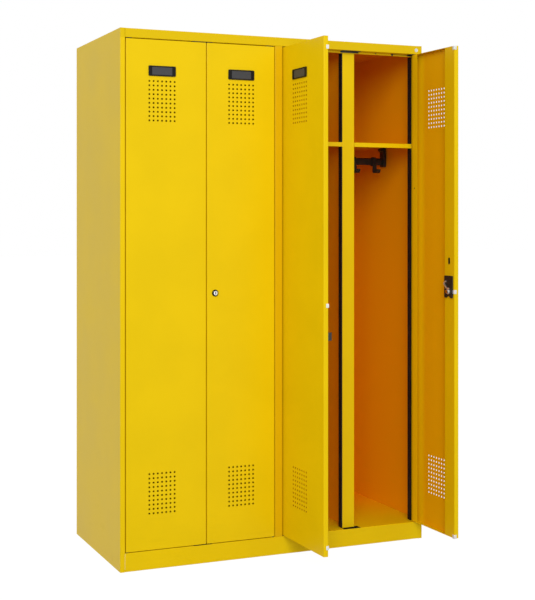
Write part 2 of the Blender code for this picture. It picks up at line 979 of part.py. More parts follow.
def coat_rail_mesh(space):
    """Coat rail moulded with its two end brackets, which hang from the shelf."""
    left, right = rail_ends(space)
    rail = prism("rail", rail_outline(), left, right, "X")
    top = shelf_top_z - sheet - seam
    foot = rail_z - rail_height / 2 - bracket_below_rail
    nose_top = top - bracket_nose_drop
    brackets = []
    for outer, inwards in ((left, 1), (right, -1)):
        inner = outer + inwards * bracket_width
        nose = inner + inwards * bracket_nose
        outline = [
            (outer, foot + bracket_corner),
            (outer + inwards * bracket_corner, foot),
            (inner - inwards * bracket_corner, foot),
            (inner, foot + bracket_corner),
            (inner, nose_top - bracket_nose_height),
            (nose, nose_top - bracket_nose_height / 2),
            (nose, nose_top),
            (inner, top),
            (outer, top),
        ]
        low_y, high_y = rail_y - bracket_depth / 2, rail_y + bracket_depth / 2
        brackets.append(prism("bracket", outline, low_y, high_y, "Y"))
    return join(rail, brackets)


def hook_mesh():
    """Sliding hook: a clip over the rail, a stem and a prong that points to the doors."""
    grip = hook_clearance + hook_thickness / 2
    side_y = rail_thickness / 2 + grip
    over_z = rail_height / 2 + grip
    clip = rounded_path(
        [(0, -over_z), (side_y, -over_z), (side_y, over_z), (-side_y, over_z), (-side_y, 0)],
        hook_bend_radius,
        1,
    )
    prong_y = -side_y - hook_prong_reach
    bowl = rounded_path(
        [
            (-side_y, 0),
            (-side_y, -hook_drop),
            (prong_y, -hook_drop),
            (prong_y - hook_prong_lean, -hook_drop + hook_prong_rise),
        ],
        hook_bowl_radius,
        hook_bowl_steps,
    )
    path = clip[:-1] + bowl[1:]
    half = hook_thickness / 2
    outline = offset_path(path, half) + offset_path(path, -half)[::-1]
    mesh = prism("hook", outline, -hook_bottom_width / 2, hook_bottom_width / 2, "X")
    for vertex in mesh.vertices:
        share = min(max((vertex.co.z + hook_drop) / (over_z + hook_drop), 0), 1)
        width = hook_bottom_width + (hook_top_width - hook_bottom_width) * share
        vertex.co.x = math.copysign(width / 2, vertex.co.x)
    return mesh


# Assembly

def build_carcass(halves):
    place("side_panel_left", side_panel_mesh(-1), painted_yellow)
    place("side_panel_right", side_panel_mesh(1), painted_yellow)
    place("centre_stile", centre_stile_mesh(), painted_yellow)
    place("centre_wall", centre_wall_mesh(), painted_yellow)
    place("back_panel", back_mesh(), painted_yellow)
    place("roof_panel", roof_mesh(halves), painted_yellow)
    place("floor_panel", floor_mesh(halves), painted_yellow)
    place("floor_bearer", bearer_mesh(), painted_yellow)
    for half_x, name in zip(halves, ("left", "right")):
        place("partition_post_" + name, post_mesh(half_x), painted_yellow)
        place("partition_" + name, partition_mesh(half_x), painted_yellow)


def build_compartments(halves):
    for number, space in enumerate(compartments(halves), 1):
        place(f"hat_shelf_{number}", shelf_mesh(space), painted_yellow)
        place(f"coat_rail_{number}", coat_rail_mesh(space), black_plastic)
        first, last = rail_ends(space)
        end_room = bracket_width + bracket_nose + hook_end_room + hook_bottom_width / 2
        pitch = (last - first - end_room * 2) / (hooks_per_rail - 1)
        hook = hook_mesh()
        for index in range(hooks_per_rail):
            spot = first + end_room + hook_shift + index * pitch
            place(
                f"coat_hook_{number}_{index + 1}", hook, black_plastic,
                location=(spot, rail_y, rail_z), smooth=True,
            )


def build_lock(number, side, width, door_axis):
    """Ring, plug, cam and case of one lock, the plug and cam on their own axis."""
    lock_x = on_door(side, width - lock_from_edge, 0)[0]
    spot = (lock_x, 0, lock_z)
    lock_axis = axis_empty(f"lock_axis_{number}", spot, parent=door_axis)
    place(f"lock_ring_{number}", lock_ring_mesh(), black_plastic, door_axis, spot, smooth=True)
    place(f"lock_plug_{number}", lock_plug_mesh(), bright_chrome, lock_axis, smooth=True)
    place(f"lock_cam_{number}", cam_mesh(side), bright_chrome, lock_axis)
    place(f"lock_case_{number}", lock_case_mesh(side, width), black_plastic, door_axis)


def build_doors(halves):
    opened = {3: -left_door_open_degrees, 4: right_door_open_degrees}
    for number, side, axis_x, width in door_places(halves):
        axis_place = (axis_x, front_y + pivot_from_face, 0)
        turn = math.radians(opened.get(number, 0))
        door_axis = axis_empty(f"hinge_axis_{number}", axis_place, turn)
        has_lock = side < 0
        place(f"door_{number}", door_mesh(side, width, has_lock), painted_yellow, door_axis)
        place(f"label_holder_{number}", label_holder_mesh(side), slate_plastic, door_axis)
        if has_lock:
            build_lock(number, side, width, door_axis)
        else:
            place(f"door_catch_{number}", catch_mesh(side, width), black_plastic, door_axis)
        place(
            f"hinge_pin_{number}_top", top_pin_mesh(), zinc_steel,
            location=axis_place, smooth=True,
        )
        place(
            f"hinge_pin_{number}_bottom", bottom_pin_mesh(), zinc_steel,
            location=axis_place, smooth=True,
        )


def main():
    for old in list(bpy.data.objects):
        bpy.data.objects.remove(old)
    halves = (left_x, 0)
    build_carcass(halves)
    build_compartments(halves)
    build_doors(halves)
    bpy.context.view_layer.update()


main()
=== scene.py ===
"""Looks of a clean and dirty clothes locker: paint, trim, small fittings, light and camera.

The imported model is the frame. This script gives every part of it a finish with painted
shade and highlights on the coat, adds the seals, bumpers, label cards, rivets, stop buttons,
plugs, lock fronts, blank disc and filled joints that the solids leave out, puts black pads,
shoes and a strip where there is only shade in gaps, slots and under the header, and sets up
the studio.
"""

import json
import math

import bmesh
import bpy
from mathutils import Matrix, Vector


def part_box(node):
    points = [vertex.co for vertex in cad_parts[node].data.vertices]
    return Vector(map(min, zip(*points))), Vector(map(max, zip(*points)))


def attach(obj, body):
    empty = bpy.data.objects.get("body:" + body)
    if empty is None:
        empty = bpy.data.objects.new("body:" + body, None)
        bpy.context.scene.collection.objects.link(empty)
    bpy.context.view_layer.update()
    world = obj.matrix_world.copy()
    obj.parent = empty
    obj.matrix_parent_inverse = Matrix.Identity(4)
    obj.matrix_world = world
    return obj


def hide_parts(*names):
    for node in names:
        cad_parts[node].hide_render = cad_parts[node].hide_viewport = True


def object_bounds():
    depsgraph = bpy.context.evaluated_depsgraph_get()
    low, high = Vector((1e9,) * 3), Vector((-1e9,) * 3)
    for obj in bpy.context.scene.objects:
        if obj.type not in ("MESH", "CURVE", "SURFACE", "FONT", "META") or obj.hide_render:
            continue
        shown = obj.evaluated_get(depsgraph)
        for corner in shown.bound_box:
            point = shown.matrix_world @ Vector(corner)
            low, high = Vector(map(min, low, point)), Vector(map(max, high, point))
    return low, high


bl_info = {
    "name": "Changing Room Locker",
    "version": (1, 0, 0),
    "blender": (4, 5, 0),
    "location": "View3D > Sidebar > Locker",
    "description": "Finishes and small fittings for a steel locker with paired doors",
    "category": "Object",
}

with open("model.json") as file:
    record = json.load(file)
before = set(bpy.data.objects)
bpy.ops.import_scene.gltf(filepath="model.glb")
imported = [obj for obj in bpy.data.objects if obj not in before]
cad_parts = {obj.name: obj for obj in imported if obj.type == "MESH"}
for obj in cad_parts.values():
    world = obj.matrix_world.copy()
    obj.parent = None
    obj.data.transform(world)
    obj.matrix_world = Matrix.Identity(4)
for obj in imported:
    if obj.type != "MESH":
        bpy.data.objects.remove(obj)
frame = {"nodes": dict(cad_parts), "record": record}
cad_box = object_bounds()
joints = {joint["name"]: joint for joint in frame["record"]["behaviour"]["joints"]}

DOORS = (1, 2, 3, 4)
WIDE_DOORS = (1, 3)
LOCKED_DOORS = (2, 4)
COMPARTMENTS = (1, 2, 3, 4)
HALVES = ("left", "right")

FRONT, BACK = (0, -1, 0), (0, 1, 0)
FACING = 0.9  # least cosine between a face's normal and the way that it looks
AIR = 0.00005  # gap between a small piece and the face that it lies on


# Sizes and colours that a user may change

def a_length(name, description, default, precision=4):
    return bpy.props.FloatProperty(
        name=name, description=description, default=default, precision=precision, unit="LENGTH"
    )


def a_share(name, description, default):
    return bpy.props.FloatProperty(
        name=name, description=description, default=default, min=0, max=1, subtype="FACTOR"
    )


def a_colour(name, description, default):
    return bpy.props.FloatVectorProperty(
        name=name, description=description, default=default, min=0, max=1, subtype="COLOR"
    )


def a_place(name, description, default):
    return bpy.props.FloatVectorProperty(
        name=name, description=description, default=default, subtype="TRANSLATION", unit="LENGTH"
    )


class LockerPaint(bpy.types.PropertyGroup):
    """Powder coat on the sheet metal, with the colours of its painted shade and highlight."""

    colour: a_colour("Colour", "Colour of the powder coat", (0.83, 0.57, 0.001))
    # Painted shade: a deeper orange that stands in for the shade and bounced light inside the
    # compartments and doors
    inner_shade_colour: a_colour(
        "Inner colour", "Deeper colour of the coat inside the compartments", (0.96, 0.41, 0.001)
    )
    # Painted highlight: a brighter colour on a door's inside beside its hinge, where light falls
    hinge_highlight_colour: a_colour(
        "Corner colour", "Brighter colour inside a door beside its hinge", (1.0, 0.64, 0.001)
    )
    roughness: a_share("Roughness", "How matt the coat is", 0.36)
    peel_size: a_length("Peel size", "Width of the fine waves in the coat", 0.0035)
    peel_height: a_length("Peel height", "Height of the fine waves in the coat", 0.00012, 5)
    scuffs: a_share("Scuffs", "Strength of the marks near the floor", 0.1)


class LockerTrim(bpy.types.PropertyGroup):
    """Seals, bumpers and small metal parts."""

    seal_thickness: a_length("Seal thickness", "How far a seal stands off its lip", 0.0008)
    seal_wrap: a_length("Seal wrap", "How far a seal reaches round the front bend", 0.003)
    seal_margin: a_length("Seal margin", "Bare metal beside a seal", 0.0006)
    bumper_height: a_length("Bumper height", "Height of a door bumper", 0.0135)
    bumper_wrap: a_length("Bumper wrap", "Reach of a bumper round the door's corner", 0.0095)
    bumper_thickness: a_length("Bumper thickness", "Thickness on the inner face", 0.002)
    rivet_radius: a_length("Rivet radius", "Radius of a rivet head", 0.0028)
    lock_rise: a_length("Lock rise", "How far a lock's bezel stands before its ring", 0.0029)
    lock_face_radius: a_length("Lock face radius", "Radius of a lock's bright face", 0.0072)
    keyhole_width: a_length("Keyhole width", "Width of the keyhole in a lock's face", 0.0037)
    disc_radius: a_length("Disc radius", "Radius of the blank disc on the header", 0.0068)


class LockerStage(bpy.types.PropertyGroup):
    """Camera and light."""

    camera_place: a_place("Camera place", "Where the camera stands", (-1.8012, -3.8146, 1.168))
    camera_turn: bpy.props.FloatProperty(
        name="Camera turn", description="How far the camera looks towards the right",
        default=math.radians(20.8), subtype="ANGLE", unit="ROTATION",
    )
    focal_pixels: bpy.props.FloatProperty(
        name="Focal length in pixels", description="Focal length at the photo's size",
        default=1141.3,
    )
    axis_pixel: bpy.props.FloatVectorProperty(
        name="Axis pixel", description="Pixel that the camera's axis passes through", size=2,
        default=(158.8, 218.9),
    )
    key_power: bpy.props.FloatProperty(
        name="Key power", description="Power of the large soft lamp at the front left",
        default=236.0, unit="POWER",
    )
    key_place: a_place("Key place", "Where the large lamp hangs", (-2.4, -6.0, 3.7))
    key_size: a_length("Key size", "Width and height of the large lamp", 3.6)
    sky_strength: bpy.props.FloatProperty(
        name="Sky strength", description="Strength of the even light all round", default=0.72,
        min=0,
    )
    floor_whiteness: a_share("Floor whiteness", "How little of the shadow the camera sees", 0.8)


# Shader maths and nodes

class Amount:
    """A number that varies over a surface. Python's operators work on it."""

    def __init__(self, nodes, socket):
        self.nodes = nodes
        self.socket = socket

    def combined(self, operation, first, second):
        node = self.nodes.node("ShaderNodeMath", {"operation": operation}, {0: first, 1: second})
        return Amount(self.nodes, node.outputs[0])

    def __add__(self, other):
        return self.combined("ADD", self, other)

    def __radd__(self, other):
        return self.combined("ADD", other, self)

    def __sub__(self, other):
        return self.combined("SUBTRACT", self, other)

    def __rsub__(self, other):
        return self.combined("SUBTRACT", other, self)

    def __mul__(self, other):
        return self.combined("MULTIPLY", self, other)

    def __rmul__(self, other):
        return self.combined("MULTIPLY", other, self)

    def at_least(self, other):
        return self.combined("MAXIMUM", self, other)

    def mapped(self, interpolation, **inputs):
        settings = {"interpolation_type": interpolation, "clamp": True}
        inputs = {name.replace("_", " "): value for name, value in inputs.items()}
        node = self.nodes.node("ShaderNodeMapRange", settings, {"Value": self, **inputs})
        return Amount(self.nodes, node.outputs[0])

    def clamped(self):
        return self.mapped("LINEAR")

    def ramp(self, low, high):
        """0 at low, 1 at high, with a smooth way between."""
        return self.mapped("SMOOTHSTEP", From_Min=low, From_Max=high)


class Nodes:
    """The nodes of a material or of the world."""

    def __init__(self, owner):
        owner.use_nodes = True
        self.tree = owner.node_tree

    def node(self, kind, settings=None, inputs=None):
        """Add a node: first its settings, then the values or links of its sockets."""
        node = self.tree.nodes.new(kind)
        for name, value in (settings or {}).items():
            setattr(node, name, value)
        for name, value in (inputs or {}).items():
            self.feed(node.inputs[name], value)
        return node

    def feed(self, socket, value):
        if isinstance(value, Amount):
            value = value.socket
        if isinstance(value, bpy.types.NodeSocket):
            self.tree.links.new(value, socket)
        else:
            socket.default_value = value

    def seen_rays(self):
        """1 for rays from the camera, and for those that metal and glass send on."""
        rays = self.node("ShaderNodeLightPath").outputs
        camera, glossy, passing = (
            Amount(self, rays[f"Is {kind} Ray"]) for kind in ("Camera", "Glossy", "Transmission")
        )
        return camera.at_least(glossy).at_least(passing)

    def mixed_shader(self, amount, first, second, output):
        """Send a mix of two shaders to an output node."""
        inputs = {0: amount, 1: first.outputs[0], 2: second.outputs[0]}
        mix = self.node("ShaderNodeMixShader", None, inputs)
        self.node(output, None, {"Surface": mix.outputs[0]})


class Finish(Nodes):
    """A material under construction."""

    first_colour, second_colour, mixed_colour = 6, 7, 2  # colour sockets of a Mix node

    def __init__(self, name):
        self.material = bpy.data.materials.new(name)
        super().__init__(self.material)
        self.shader = self.tree.nodes["Principled BSDF"]
        self.place = self.node("ShaderNodeTexCoord").outputs["Object"]

    def facing(self, way):
        """How far a surface faces a direction, from -1 to 1."""
        normal = self.node("ShaderNodeTexCoord").outputs["Normal"]
        inputs = {0: normal, 1: tuple(way)}
        node = self.node("ShaderNodeVectorMath", {"operation": "DOT_PRODUCT"}, inputs)
        return Amount(self, node.outputs["Value"])

    def noise(self, size, detail=2.0, stretch=(1, 1, 1)):
        """Soft noise whose spots are about this wide, stretched along the axes."""
        inputs = {"Vector": self.place, "Scale": [1 / (size * share) for share in stretch]}
        scaled = self.node("ShaderNodeMapping", None, inputs)
        inputs = {"Vector": scaled.outputs[0], "Scale": 1.0, "Detail": detail}
        return Amount(self, self.node("ShaderNodeTexNoise", None, inputs).outputs["Fac"])

    def grains(self, size):
        """Cells about this wide, each with its own value."""
        inputs = {"Vector": self.place, "Scale": 1 / size}
        node = self.node("ShaderNodeTexVoronoi", None, inputs)
        apart = self.node("ShaderNodeSeparateColor", None, {"Color": node.outputs["Color"]})
        return Amount(self, apart.outputs[0])

    def along(self, axis):
        """Place along one axis of the frame."""
        apart = self.node("ShaderNodeSeparateXYZ", None, {"Vector": self.place})
        return Amount(self, apart.outputs[axis])

    def along_way(self, way):
        """Place along a level direction of the frame."""
        return self.along("X") * way.x + self.along("Y") * way.y

    def mixed(self, amount, first, second):
        """Colour between two colours."""
        settings = {"data_type": "RGBA", "blend_type": "MIX"}
        node = self.node("ShaderNodeMix", settings, {"Factor": amount})
        for index, colour in ((self.first_colour, first), (self.second_colour, second)):
            self.feed(node.inputs[index], (*colour, 1) if isinstance(colour, tuple) else colour)
        return node.outputs[self.mixed_colour]

    def bump(self, amount, height):
        inputs = {"Height": amount, "Distance": height, "Strength": 1.0}
        self.set(Normal=self.node("ShaderNodeBump", None, inputs).outputs["Normal"])

    def set(self, **values):
        """Set or link the shader's sockets, named with underscores for spaces."""
        for name, value in values.items():
            self.feed(self.shader.inputs[name.replace("_", " ")], value)


def tint(colour, factor):
    """A colour made lighter or darker."""
    return tuple(min(1, part * factor) for part in colour)


# Painted shade and highlights on the coat

def inside_carcass(finish):
    """1 on the inner faces of the carcass, behind its front frame, where the coat takes painted
    shade, and 0 outside.
    """
    across, back, height = (finish.along(axis) for axis in "XYZ")
    high = cad_box[1]
    skin, edge = 0.0008, 0.0002
    frame_y, deep_y = -0.235, -0.17
    floor_front_y, floor_back_y = -0.22, 0.2
    floor_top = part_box("floor_panel")[1].z
    on_floor = 1 - height.ramp(floor_top + skin, floor_top + skin * 2)
    within = 1 - (across * across).ramp((high[0] - skin) ** 2, (high[0] - edge) ** 2)
    within = within * (1 - height.ramp(high[2] - skin, high[2] - edge))
    within = within * (1 - back.ramp(high[1] - skin, high[1] - edge))
    within = within * (1 - on_floor * (1 - back.ramp(floor_front_y, floor_back_y)))
    return back.ramp(frame_y, deep_y) * within


def front_frame(finish):
    """Masks of the centre stile and of the header, on the front face of the frame, where painted
    shade darkens the coat.
    """
    across, back, height = (finish.along(axis) for axis in "XYZ")
    skin, bend, joint = 0.0005, 0.002, 0.0003
    front = 1 - back.ramp(front_face() + skin, front_face() + bend)
    stile_low, stile_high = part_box("centre_stile")
    header = height.ramp(stile_high.z - skin, stile_high.z + skin)
    stile = 1 - (across * across).ramp(stile_high.x ** 2, (stile_high.x + bend) ** 2)
    stile = stile * height.ramp(stile_low.z - joint, stile_low.z)
    return front * stile * (1 - header), front * header


def carcass_shading(finish, base):
    """The coat on the carcass with painted shade: deeper orange inside, and a little darker on
    stile and header.
    """
    look = bpy.context.scene.locker_paint
    inner = tuple(look.inner_shade_colour)
    # Painted shade inside the compartments
    base = finish.mixed(inside_carcass(finish), base, inner)
    # Painted shade: the centre stile and the header a little darker
    stile, header = front_frame(finish)
    base = finish.mixed(stile * 0.4, base, tint(inner, 0.62))
    return finish.mixed(header * 0.85, base, tint(tuple(look.colour), 0.87))


def door_shading(number):
    """Painted shade and highlights on a door's coat, by the depth behind its face and the way from
    its hinge edge.
    """
    turned = door_matrix(number).to_3x3()
    inwards, from_hinge = turned @ Vector(BACK), turned @ Vector((door_side(number), 0, 0))
    places = [vertex.co for vertex in frame["nodes"][f"door_{number}"].data.vertices]
    ends = [from_hinge.dot(place) for place in places]
    face, hinge = min(inwards.dot(place) for place in places), min(ends)
    skin, fine, margin = 0.0005, 0.0001, 0.02
    far = max(ends) - hinge - margin
    lip_depths, top_shade_heights = (0.010, 0.015), (1.15, 1.75)
    highlight_start, highlight_end = (0.006, 0.012), (0.033, 0.068)

    def painted_shading(finish, base):
        look = bpy.context.scene.locker_paint
        colour, inner_shade_colour = tuple(look.colour), tuple(look.inner_shade_colour)
        depth = finish.along_way(inwards) - face
        across = finish.along_way(from_hinge) - hinge
        # Painted shade: the door's inner faces take the deeper inner colour, the lips further back
        # less of it
        inner = depth.ramp(skin, skin * 2) * finish.facing(inwards).ramp(0.5, 0.8)
        base = finish.mixed(inner * (0.72 - depth.ramp(*lip_depths) * 0.52), base, inner_shade_colour)
        # Painted highlight: a brighter band on the inside beside the hinge
        bright = inner * (across.ramp(*highlight_start) * (1 - across.ramp(*highlight_end)))
        base = finish.mixed(bright * 0.85, base, tuple(look.hinge_highlight_colour))
        # Painted shade: the inside darker towards the top
        top_shade = inner * finish.along("Z").ramp(*top_shade_heights)
        base = finish.mixed(top_shade * 0.2, base, tint(inner_shade_colour, 0.3))
        # Painted shade: faces within the sheet's thickness, such as the walls of the punched
        # vents, nearly black away from the door's ends
        cut = depth.ramp(fine / 2, fine) * (1 - depth.ramp(fine * 9, fine * 9.5))
        cut = cut * across.ramp(margin, margin + fine) * (1 - across.ramp(far, far + fine))
        return finish.mixed(cut, base, tint(colour, 0.06))

    return painted_shading


# Materials

def paint_finish(name, painted_shading=carcass_shading):
    """Powder coat: fine waves, slight clouds in the colour, faint marks near the floor, and
    painted shade and highlights from painted_shading.
    """
    look = bpy.context.scene.locker_paint
    colour = tuple(look.colour)
    finish = Finish(name)
    clouds = finish.noise(0.22, 3.0)
    specks = finish.noise(look.peel_size * 0.5, 1.0)
    peel = finish.noise(look.peel_size, 2.0)
    smears = finish.noise(0.03, 4.0, (3, 3, 0.7))
    low_down = 1 - finish.along("Z").ramp(0.02, 0.32)
    marks = (smears.ramp(0.56, 0.72) * low_down * look.scuffs).clamped()
    base = finish.mixed(clouds.ramp(0.3, 0.7), tint(colour, 0.975), tint(colour, 1.02))
    # Painted shade and highlights, placed by the carcass's or a door's masks
    base = painted_shading(finish, base)
    base = finish.mixed(specks.ramp(0.66, 0.8) * 0.12, base, tint(colour, 0.86))
    base = finish.mixed(marks, base, tint(colour, 0.72))
    roughness = look.roughness + (clouds - 0.5) * 0.10 + (peel - 0.5) * 0.08 + marks * 0.25
    finish.set(Base_Color=base, Roughness=roughness.clamped(), Metallic=0.0)
    finish.set(Specular_IOR_Level=0.11)
    finish.bump(peel + specks * 0.35, look.peel_height)
    return finish.material


def plastic_finish(name, colour, roughness, shine=0.5):
    """Moulded plastic with a fine spark-eroded grain and a little dust."""
    finish = Finish(name)
    grain = 0.0006
    texture = finish.noise(grain, 2.0)
    patches = finish.noise(0.018, 3.0)
    dust = patches.ramp(0.55, 0.8) * 0.25
    base = finish.mixed(texture.ramp(0.35, 0.65), tint(colour, 0.85), tint(colour, 1.2))
    base = finish.mixed(dust, base, tint(colour, 1.9))
    finish.set(Base_Color=base, Roughness=(roughness + (patches - 0.5) * 0.14 + dust * 0.2))
    finish.set(Specular_IOR_Level=shine)
    finish.bump(texture, grain * 0.06)
    return finish.material


def plated_finish(name, shades, stretch, film_size, wear):
    """Plated metal with hairlines from wiping and a thin film."""
    finish = Finish(name)
    hairlines = finish.noise(0.0005, 3.0, stretch)
    film = finish.noise(film_size, 3.0)
    roughness = 0.10 + hairlines.ramp(0.4, 0.75) * wear + film * 0.08
    finish.set(Base_Color=finish.mixed(film, *shades), Roughness=roughness, Metallic=1.0)
    finish.bump(hairlines, 0.000004)
    return finish.material


def chrome_finish(name):
    """Bright plate of the lock's plug."""
    shades = (0.66, 0.66, 0.67), (0.8, 0.8, 0.81)
    return plated_finish(name, shades, (14, 1, 1), 0.006, 0.14)


def nickel_finish(name):
    """Pale plate of the locks' faces, wiped by keys and fingers."""
    shades = (0.95, 0.95, 0.95), (1.0, 1.0, 0.99)
    return plated_finish(name, shades, (1, 14, 1), 0.004, 0.16)


def zinc_finish(name, shades, roughness, metal):
    """Zinc plate, bright or passivated black, with its faint crystals."""
    finish = Finish(name)
    crystals = finish.grains(0.0012)
    film = finish.noise(0.004, 3.0)
    dark, light = ((shade, shade * 0.98, shade * 0.94) for shade in shades)
    base = finish.mixed(crystals, dark, light)
    finish.set(Base_Color=base, Roughness=roughness + crystals * 0.12 + film * 0.1, Metallic=metal)
    finish.bump(film, 0.00002)
    return finish.material


def rubber_finish(name):
    """Black seal rubber, drawn lengthways."""
    finish = Finish(name)
    drawn = finish.noise(0.0012, 2.0, (1, 1, 30))
    bloom = finish.noise(0.05, 3.0)
    base = finish.mixed(bloom.ramp(0.4, 0.8), (0.006, 0.0055, 0.005), (0.016, 0.014, 0.012))
    finish.set(Base_Color=base, Roughness=0.55 + (drawn - 0.5) * 0.2, Specular_IOR_Level=0.25)
    finish.bump(drawn, 0.00006)
    return finish.material


def grained_finish(name, grain, shades, roughness, height, **others):
    """A material whose colour, roughness and height follow one fine noise."""
    finish = Finish(name)
    fine = finish.noise(*grain)
    least, spread = roughness
    finish.set(Base_Color=finish.mixed(fine, *shades), Roughness=least + fine * spread, **others)
    finish.bump(fine, height)
    return finish.material


def bumper_finish(name):
    """Soft whitish clear plastic of the bumpers."""
    shades = (0.74, 0.73, 0.72), (0.86, 0.86, 0.85)
    clear = {"Subsurface_Weight": 0.25, "Subsurface_Scale": 0.002}
    return grained_finish(name, (0.004, 2.0), shades, (0.3, 0.15), 0.00005, **clear)


def card_finish(name):
    """Blank label behind its clear window."""
    shades = (0.048, 0.049, 0.054), (0.060, 0.061, 0.067)
    window = {"Specular_IOR_Level": 0.2, "Coat_Weight": 0.05, "Coat_Roughness": 0.15}
    return grained_finish(name, (0.0009, 3.0, (3, 1, 1)), shades, (0.35, 0.1), 0.00001, **window)


def disc_finish(name):
    """Satin aluminium of the blank disc."""
    shades = (0.6, 0.6, 0.6), (0.74, 0.74, 0.74)
    turning = (0.0004, 2.0, (1, 1, 8))
    return grained_finish(name, turning, shades, (0.34, 0.12), 0.00001, Metallic=0.6)


def rivet_finish(name):
    """Painted rivet in a darker tone of the coat, varied by a fine noise."""
    colour = tuple(bpy.context.scene.locker_paint.colour)
    shades = tint(colour, 0.35), tint(colour, 0.6)
    return grained_finish(name, (0.002, 3.0), shades, (0.45, 0.1), 0.00004)


def material_named(name, make, *values):
    """A material, made the first time that something asks for it."""
    return bpy.data.materials.get(name) or make(name, *values)


def moulded_black():
    return material_named("moulded_black", plastic_finish, (0.013, 0.0125, 0.012), 0.42)


def lock_black():
    return material_named("lock_black", plastic_finish, (0.005, 0.0045, 0.004), 0.5, 0.15)


def seal_rubber():
    return material_named("seal_rubber", rubber_finish)


def yellow_coat():
    return material_named("powder_coat_yellow", paint_finish)


def dress(obj, material, body="carcass"):
    """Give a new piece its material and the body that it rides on."""
    obj.data.materials.clear()
    obj.data.materials.append(material)
    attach(obj, body)


def dress_on_door(obj, number, material, body="door"):
    """Move a piece made in a door's closed place to where the door stands, and dress it."""
    obj.matrix_world = door_matrix(number)
    settle(obj)
    dress(obj, material, f"{body}_{number}")


def cover(material, *starts):
    """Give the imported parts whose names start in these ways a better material."""
    for name, obj in frame["nodes"].items():
        if name.startswith(starts):
            for slot in obj.material_slots:
                slot.material = material


# Modelling helpers

def only(obj=None):
    """Leave edit mode, and select nothing but one object."""
    if bpy.context.object and bpy.context.object.mode != "OBJECT":
        done()
    bpy.ops.object.select_all(action="DESELECT")
    if obj:
        obj.select_set(True)
        bpy.context.view_layer.objects.active = obj


def settle(obj):
    """Put an object's place, turn and scale into its mesh."""
    only(obj)
    bpy.ops.object.transform_apply(location=True, rotation=True, scale=True)


def edit():
    bpy.ops.object.mode_set(mode="EDIT")


def done():
    bpy.ops.object.mode_set(mode="OBJECT")


def choose(obj, kind, test):
    """In edit mode, select only the faces, edges or points whose middle passes a test."""
    bpy.ops.mesh.select_mode(type=kind)
    bpy.ops.mesh.select_all(action="DESELECT")
    bm = bmesh.from_edit_mesh(obj.data)
    for item in {"FACE": bm.faces, "EDGE": bm.edges, "VERT": bm.verts}[kind]:
        points = [item.co] if kind == "VERT" else [vert.co for vert in item.verts]
        middle = sum(points, Vector((0, 0, 0))) / len(points)
        item.select_set(bool(test(middle, item)))
    bm.select_flush_mode()
    bmesh.update_edit_mesh(obj.data)


def choose_facing(obj, way, where=None):
    """In edit mode, select the faces that look one way, where their middle passes a test."""
    out = Vector(way)
    choose(
        obj, "FACE",
        lambda middle, face: face.normal.dot(out) > FACING and (not where or where(middle)),
    )


def push(way):
    """Extrude the selected faces."""
    bpy.ops.mesh.extrude_region_move(TRANSFORM_OT_translate={"value": way})


def split(place, normal):
    """Cut all faces along a plane."""
    bpy.ops.mesh.select_all(action="SELECT")
    bpy.ops.mesh.bisect(plane_co=place, plane_no=normal, xstart=0, xend=0)


def sink(obj, way, rim, slope, depth, where=None):
    """Sink the middle of the faces that look one way, inside a flat rim and a slope."""
    edit()
    choose_facing(obj, way, where)
    bpy.ops.mesh.inset(thickness=rim, depth=0)
    bpy.ops.mesh.inset(thickness=slope, depth=-depth)
    done()


def bevel_all(obj, width, segments=2):
    """Round every edge that isn't flat."""
    only(obj)
    modifier = obj.modifiers.new("rounding", "BEVEL")
    modifier.width = width
    modifier.segments = segments
    modifier.limit_method = "ANGLE"
    modifier.angle_limit = math.radians(40)
    bpy.ops.object.modifier_apply(modifier=modifier.name)


def smooth(obj):
    only(obj)
    bpy.ops.object.shade_smooth_by_angle(angle=math.radians(40))


def soften(obj, width):
    """Round the edges and shade the faces smooth."""
    bevel_all(obj, width)
    smooth(obj)


def started(name):
    """Name a new primitive, and put its place, turn and scale into its mesh."""
    obj = bpy.context.object
    obj.name = obj.data.name = name
    settle(obj)
    return obj


def add_slab(name, low, high):
    """A block between two corners, as a start."""
    only()
    middle = [(a + b) / 2 for a, b in zip(low, high)]
    size = [abs(b - a) for a, b in zip(low, high)]
    bpy.ops.mesh.primitive_cube_add(size=1, location=middle, scale=size)
    return started(name)


def add_plate(name, x, z, half_width, half_height, front_y, back_y):
    """A block about a place on a door's face, as a start."""
    low = (x - half_width, front_y, z - half_height)
    return add_slab(name, low, (x + half_width, back_y, z + half_height))


def add_round(name, radius, depth, place, way, sides):
    """A round block whose axis runs one way, as a start."""
    only()
    turn = Vector((0, 0, 1)).rotation_difference(Vector(way)).to_euler()
    bpy.ops.mesh.primitive_cylinder_add(
        vertices=sides, radius=radius, depth=depth, location=place, rotation=turn
    )
    return started(name)


def joined(pieces, name):
    only(pieces[0])
    for piece in pieces:
        piece.select_set(True)
    bpy.ops.object.join()
    pieces[0].name = pieces[0].data.name = name
    return pieces[0]


# Places, read from the frame

def door_matrix(number):
    """From a door's closed place about its hinge axis to where it stands in the photo."""
    joint = joints[f"door_{number}_hinge"]
    place = Vector((joint["pos_m"][0], joint["pos_m"][1], 0))
    turn = math.radians(-min(0, joint["range_deg"][0])) * joint["axis"][2]
    return Matrix.Translation(place) @ Matrix.Rotation(turn, 4, "Z")


def door_side(number):
    """1 where the hinge is on the left, -1 where it is on the right."""
    return -joints[f"door_{number}_hinge"]["axis"][2]


def door_box(number, kind="door"):
    """Corners of a door, or of a piece on it, in its closed place about its hinge axis."""
    back = door_matrix(number).inverted()
    places = [back @ vertex.co for vertex in frame["nodes"][f"{kind}_{number}"].data.vertices]
    low = Vector([min(place[i] for place in places) for i in range(3)])
    high = Vector([max(place[i] for place in places) for i in range(3)])
    return low, high


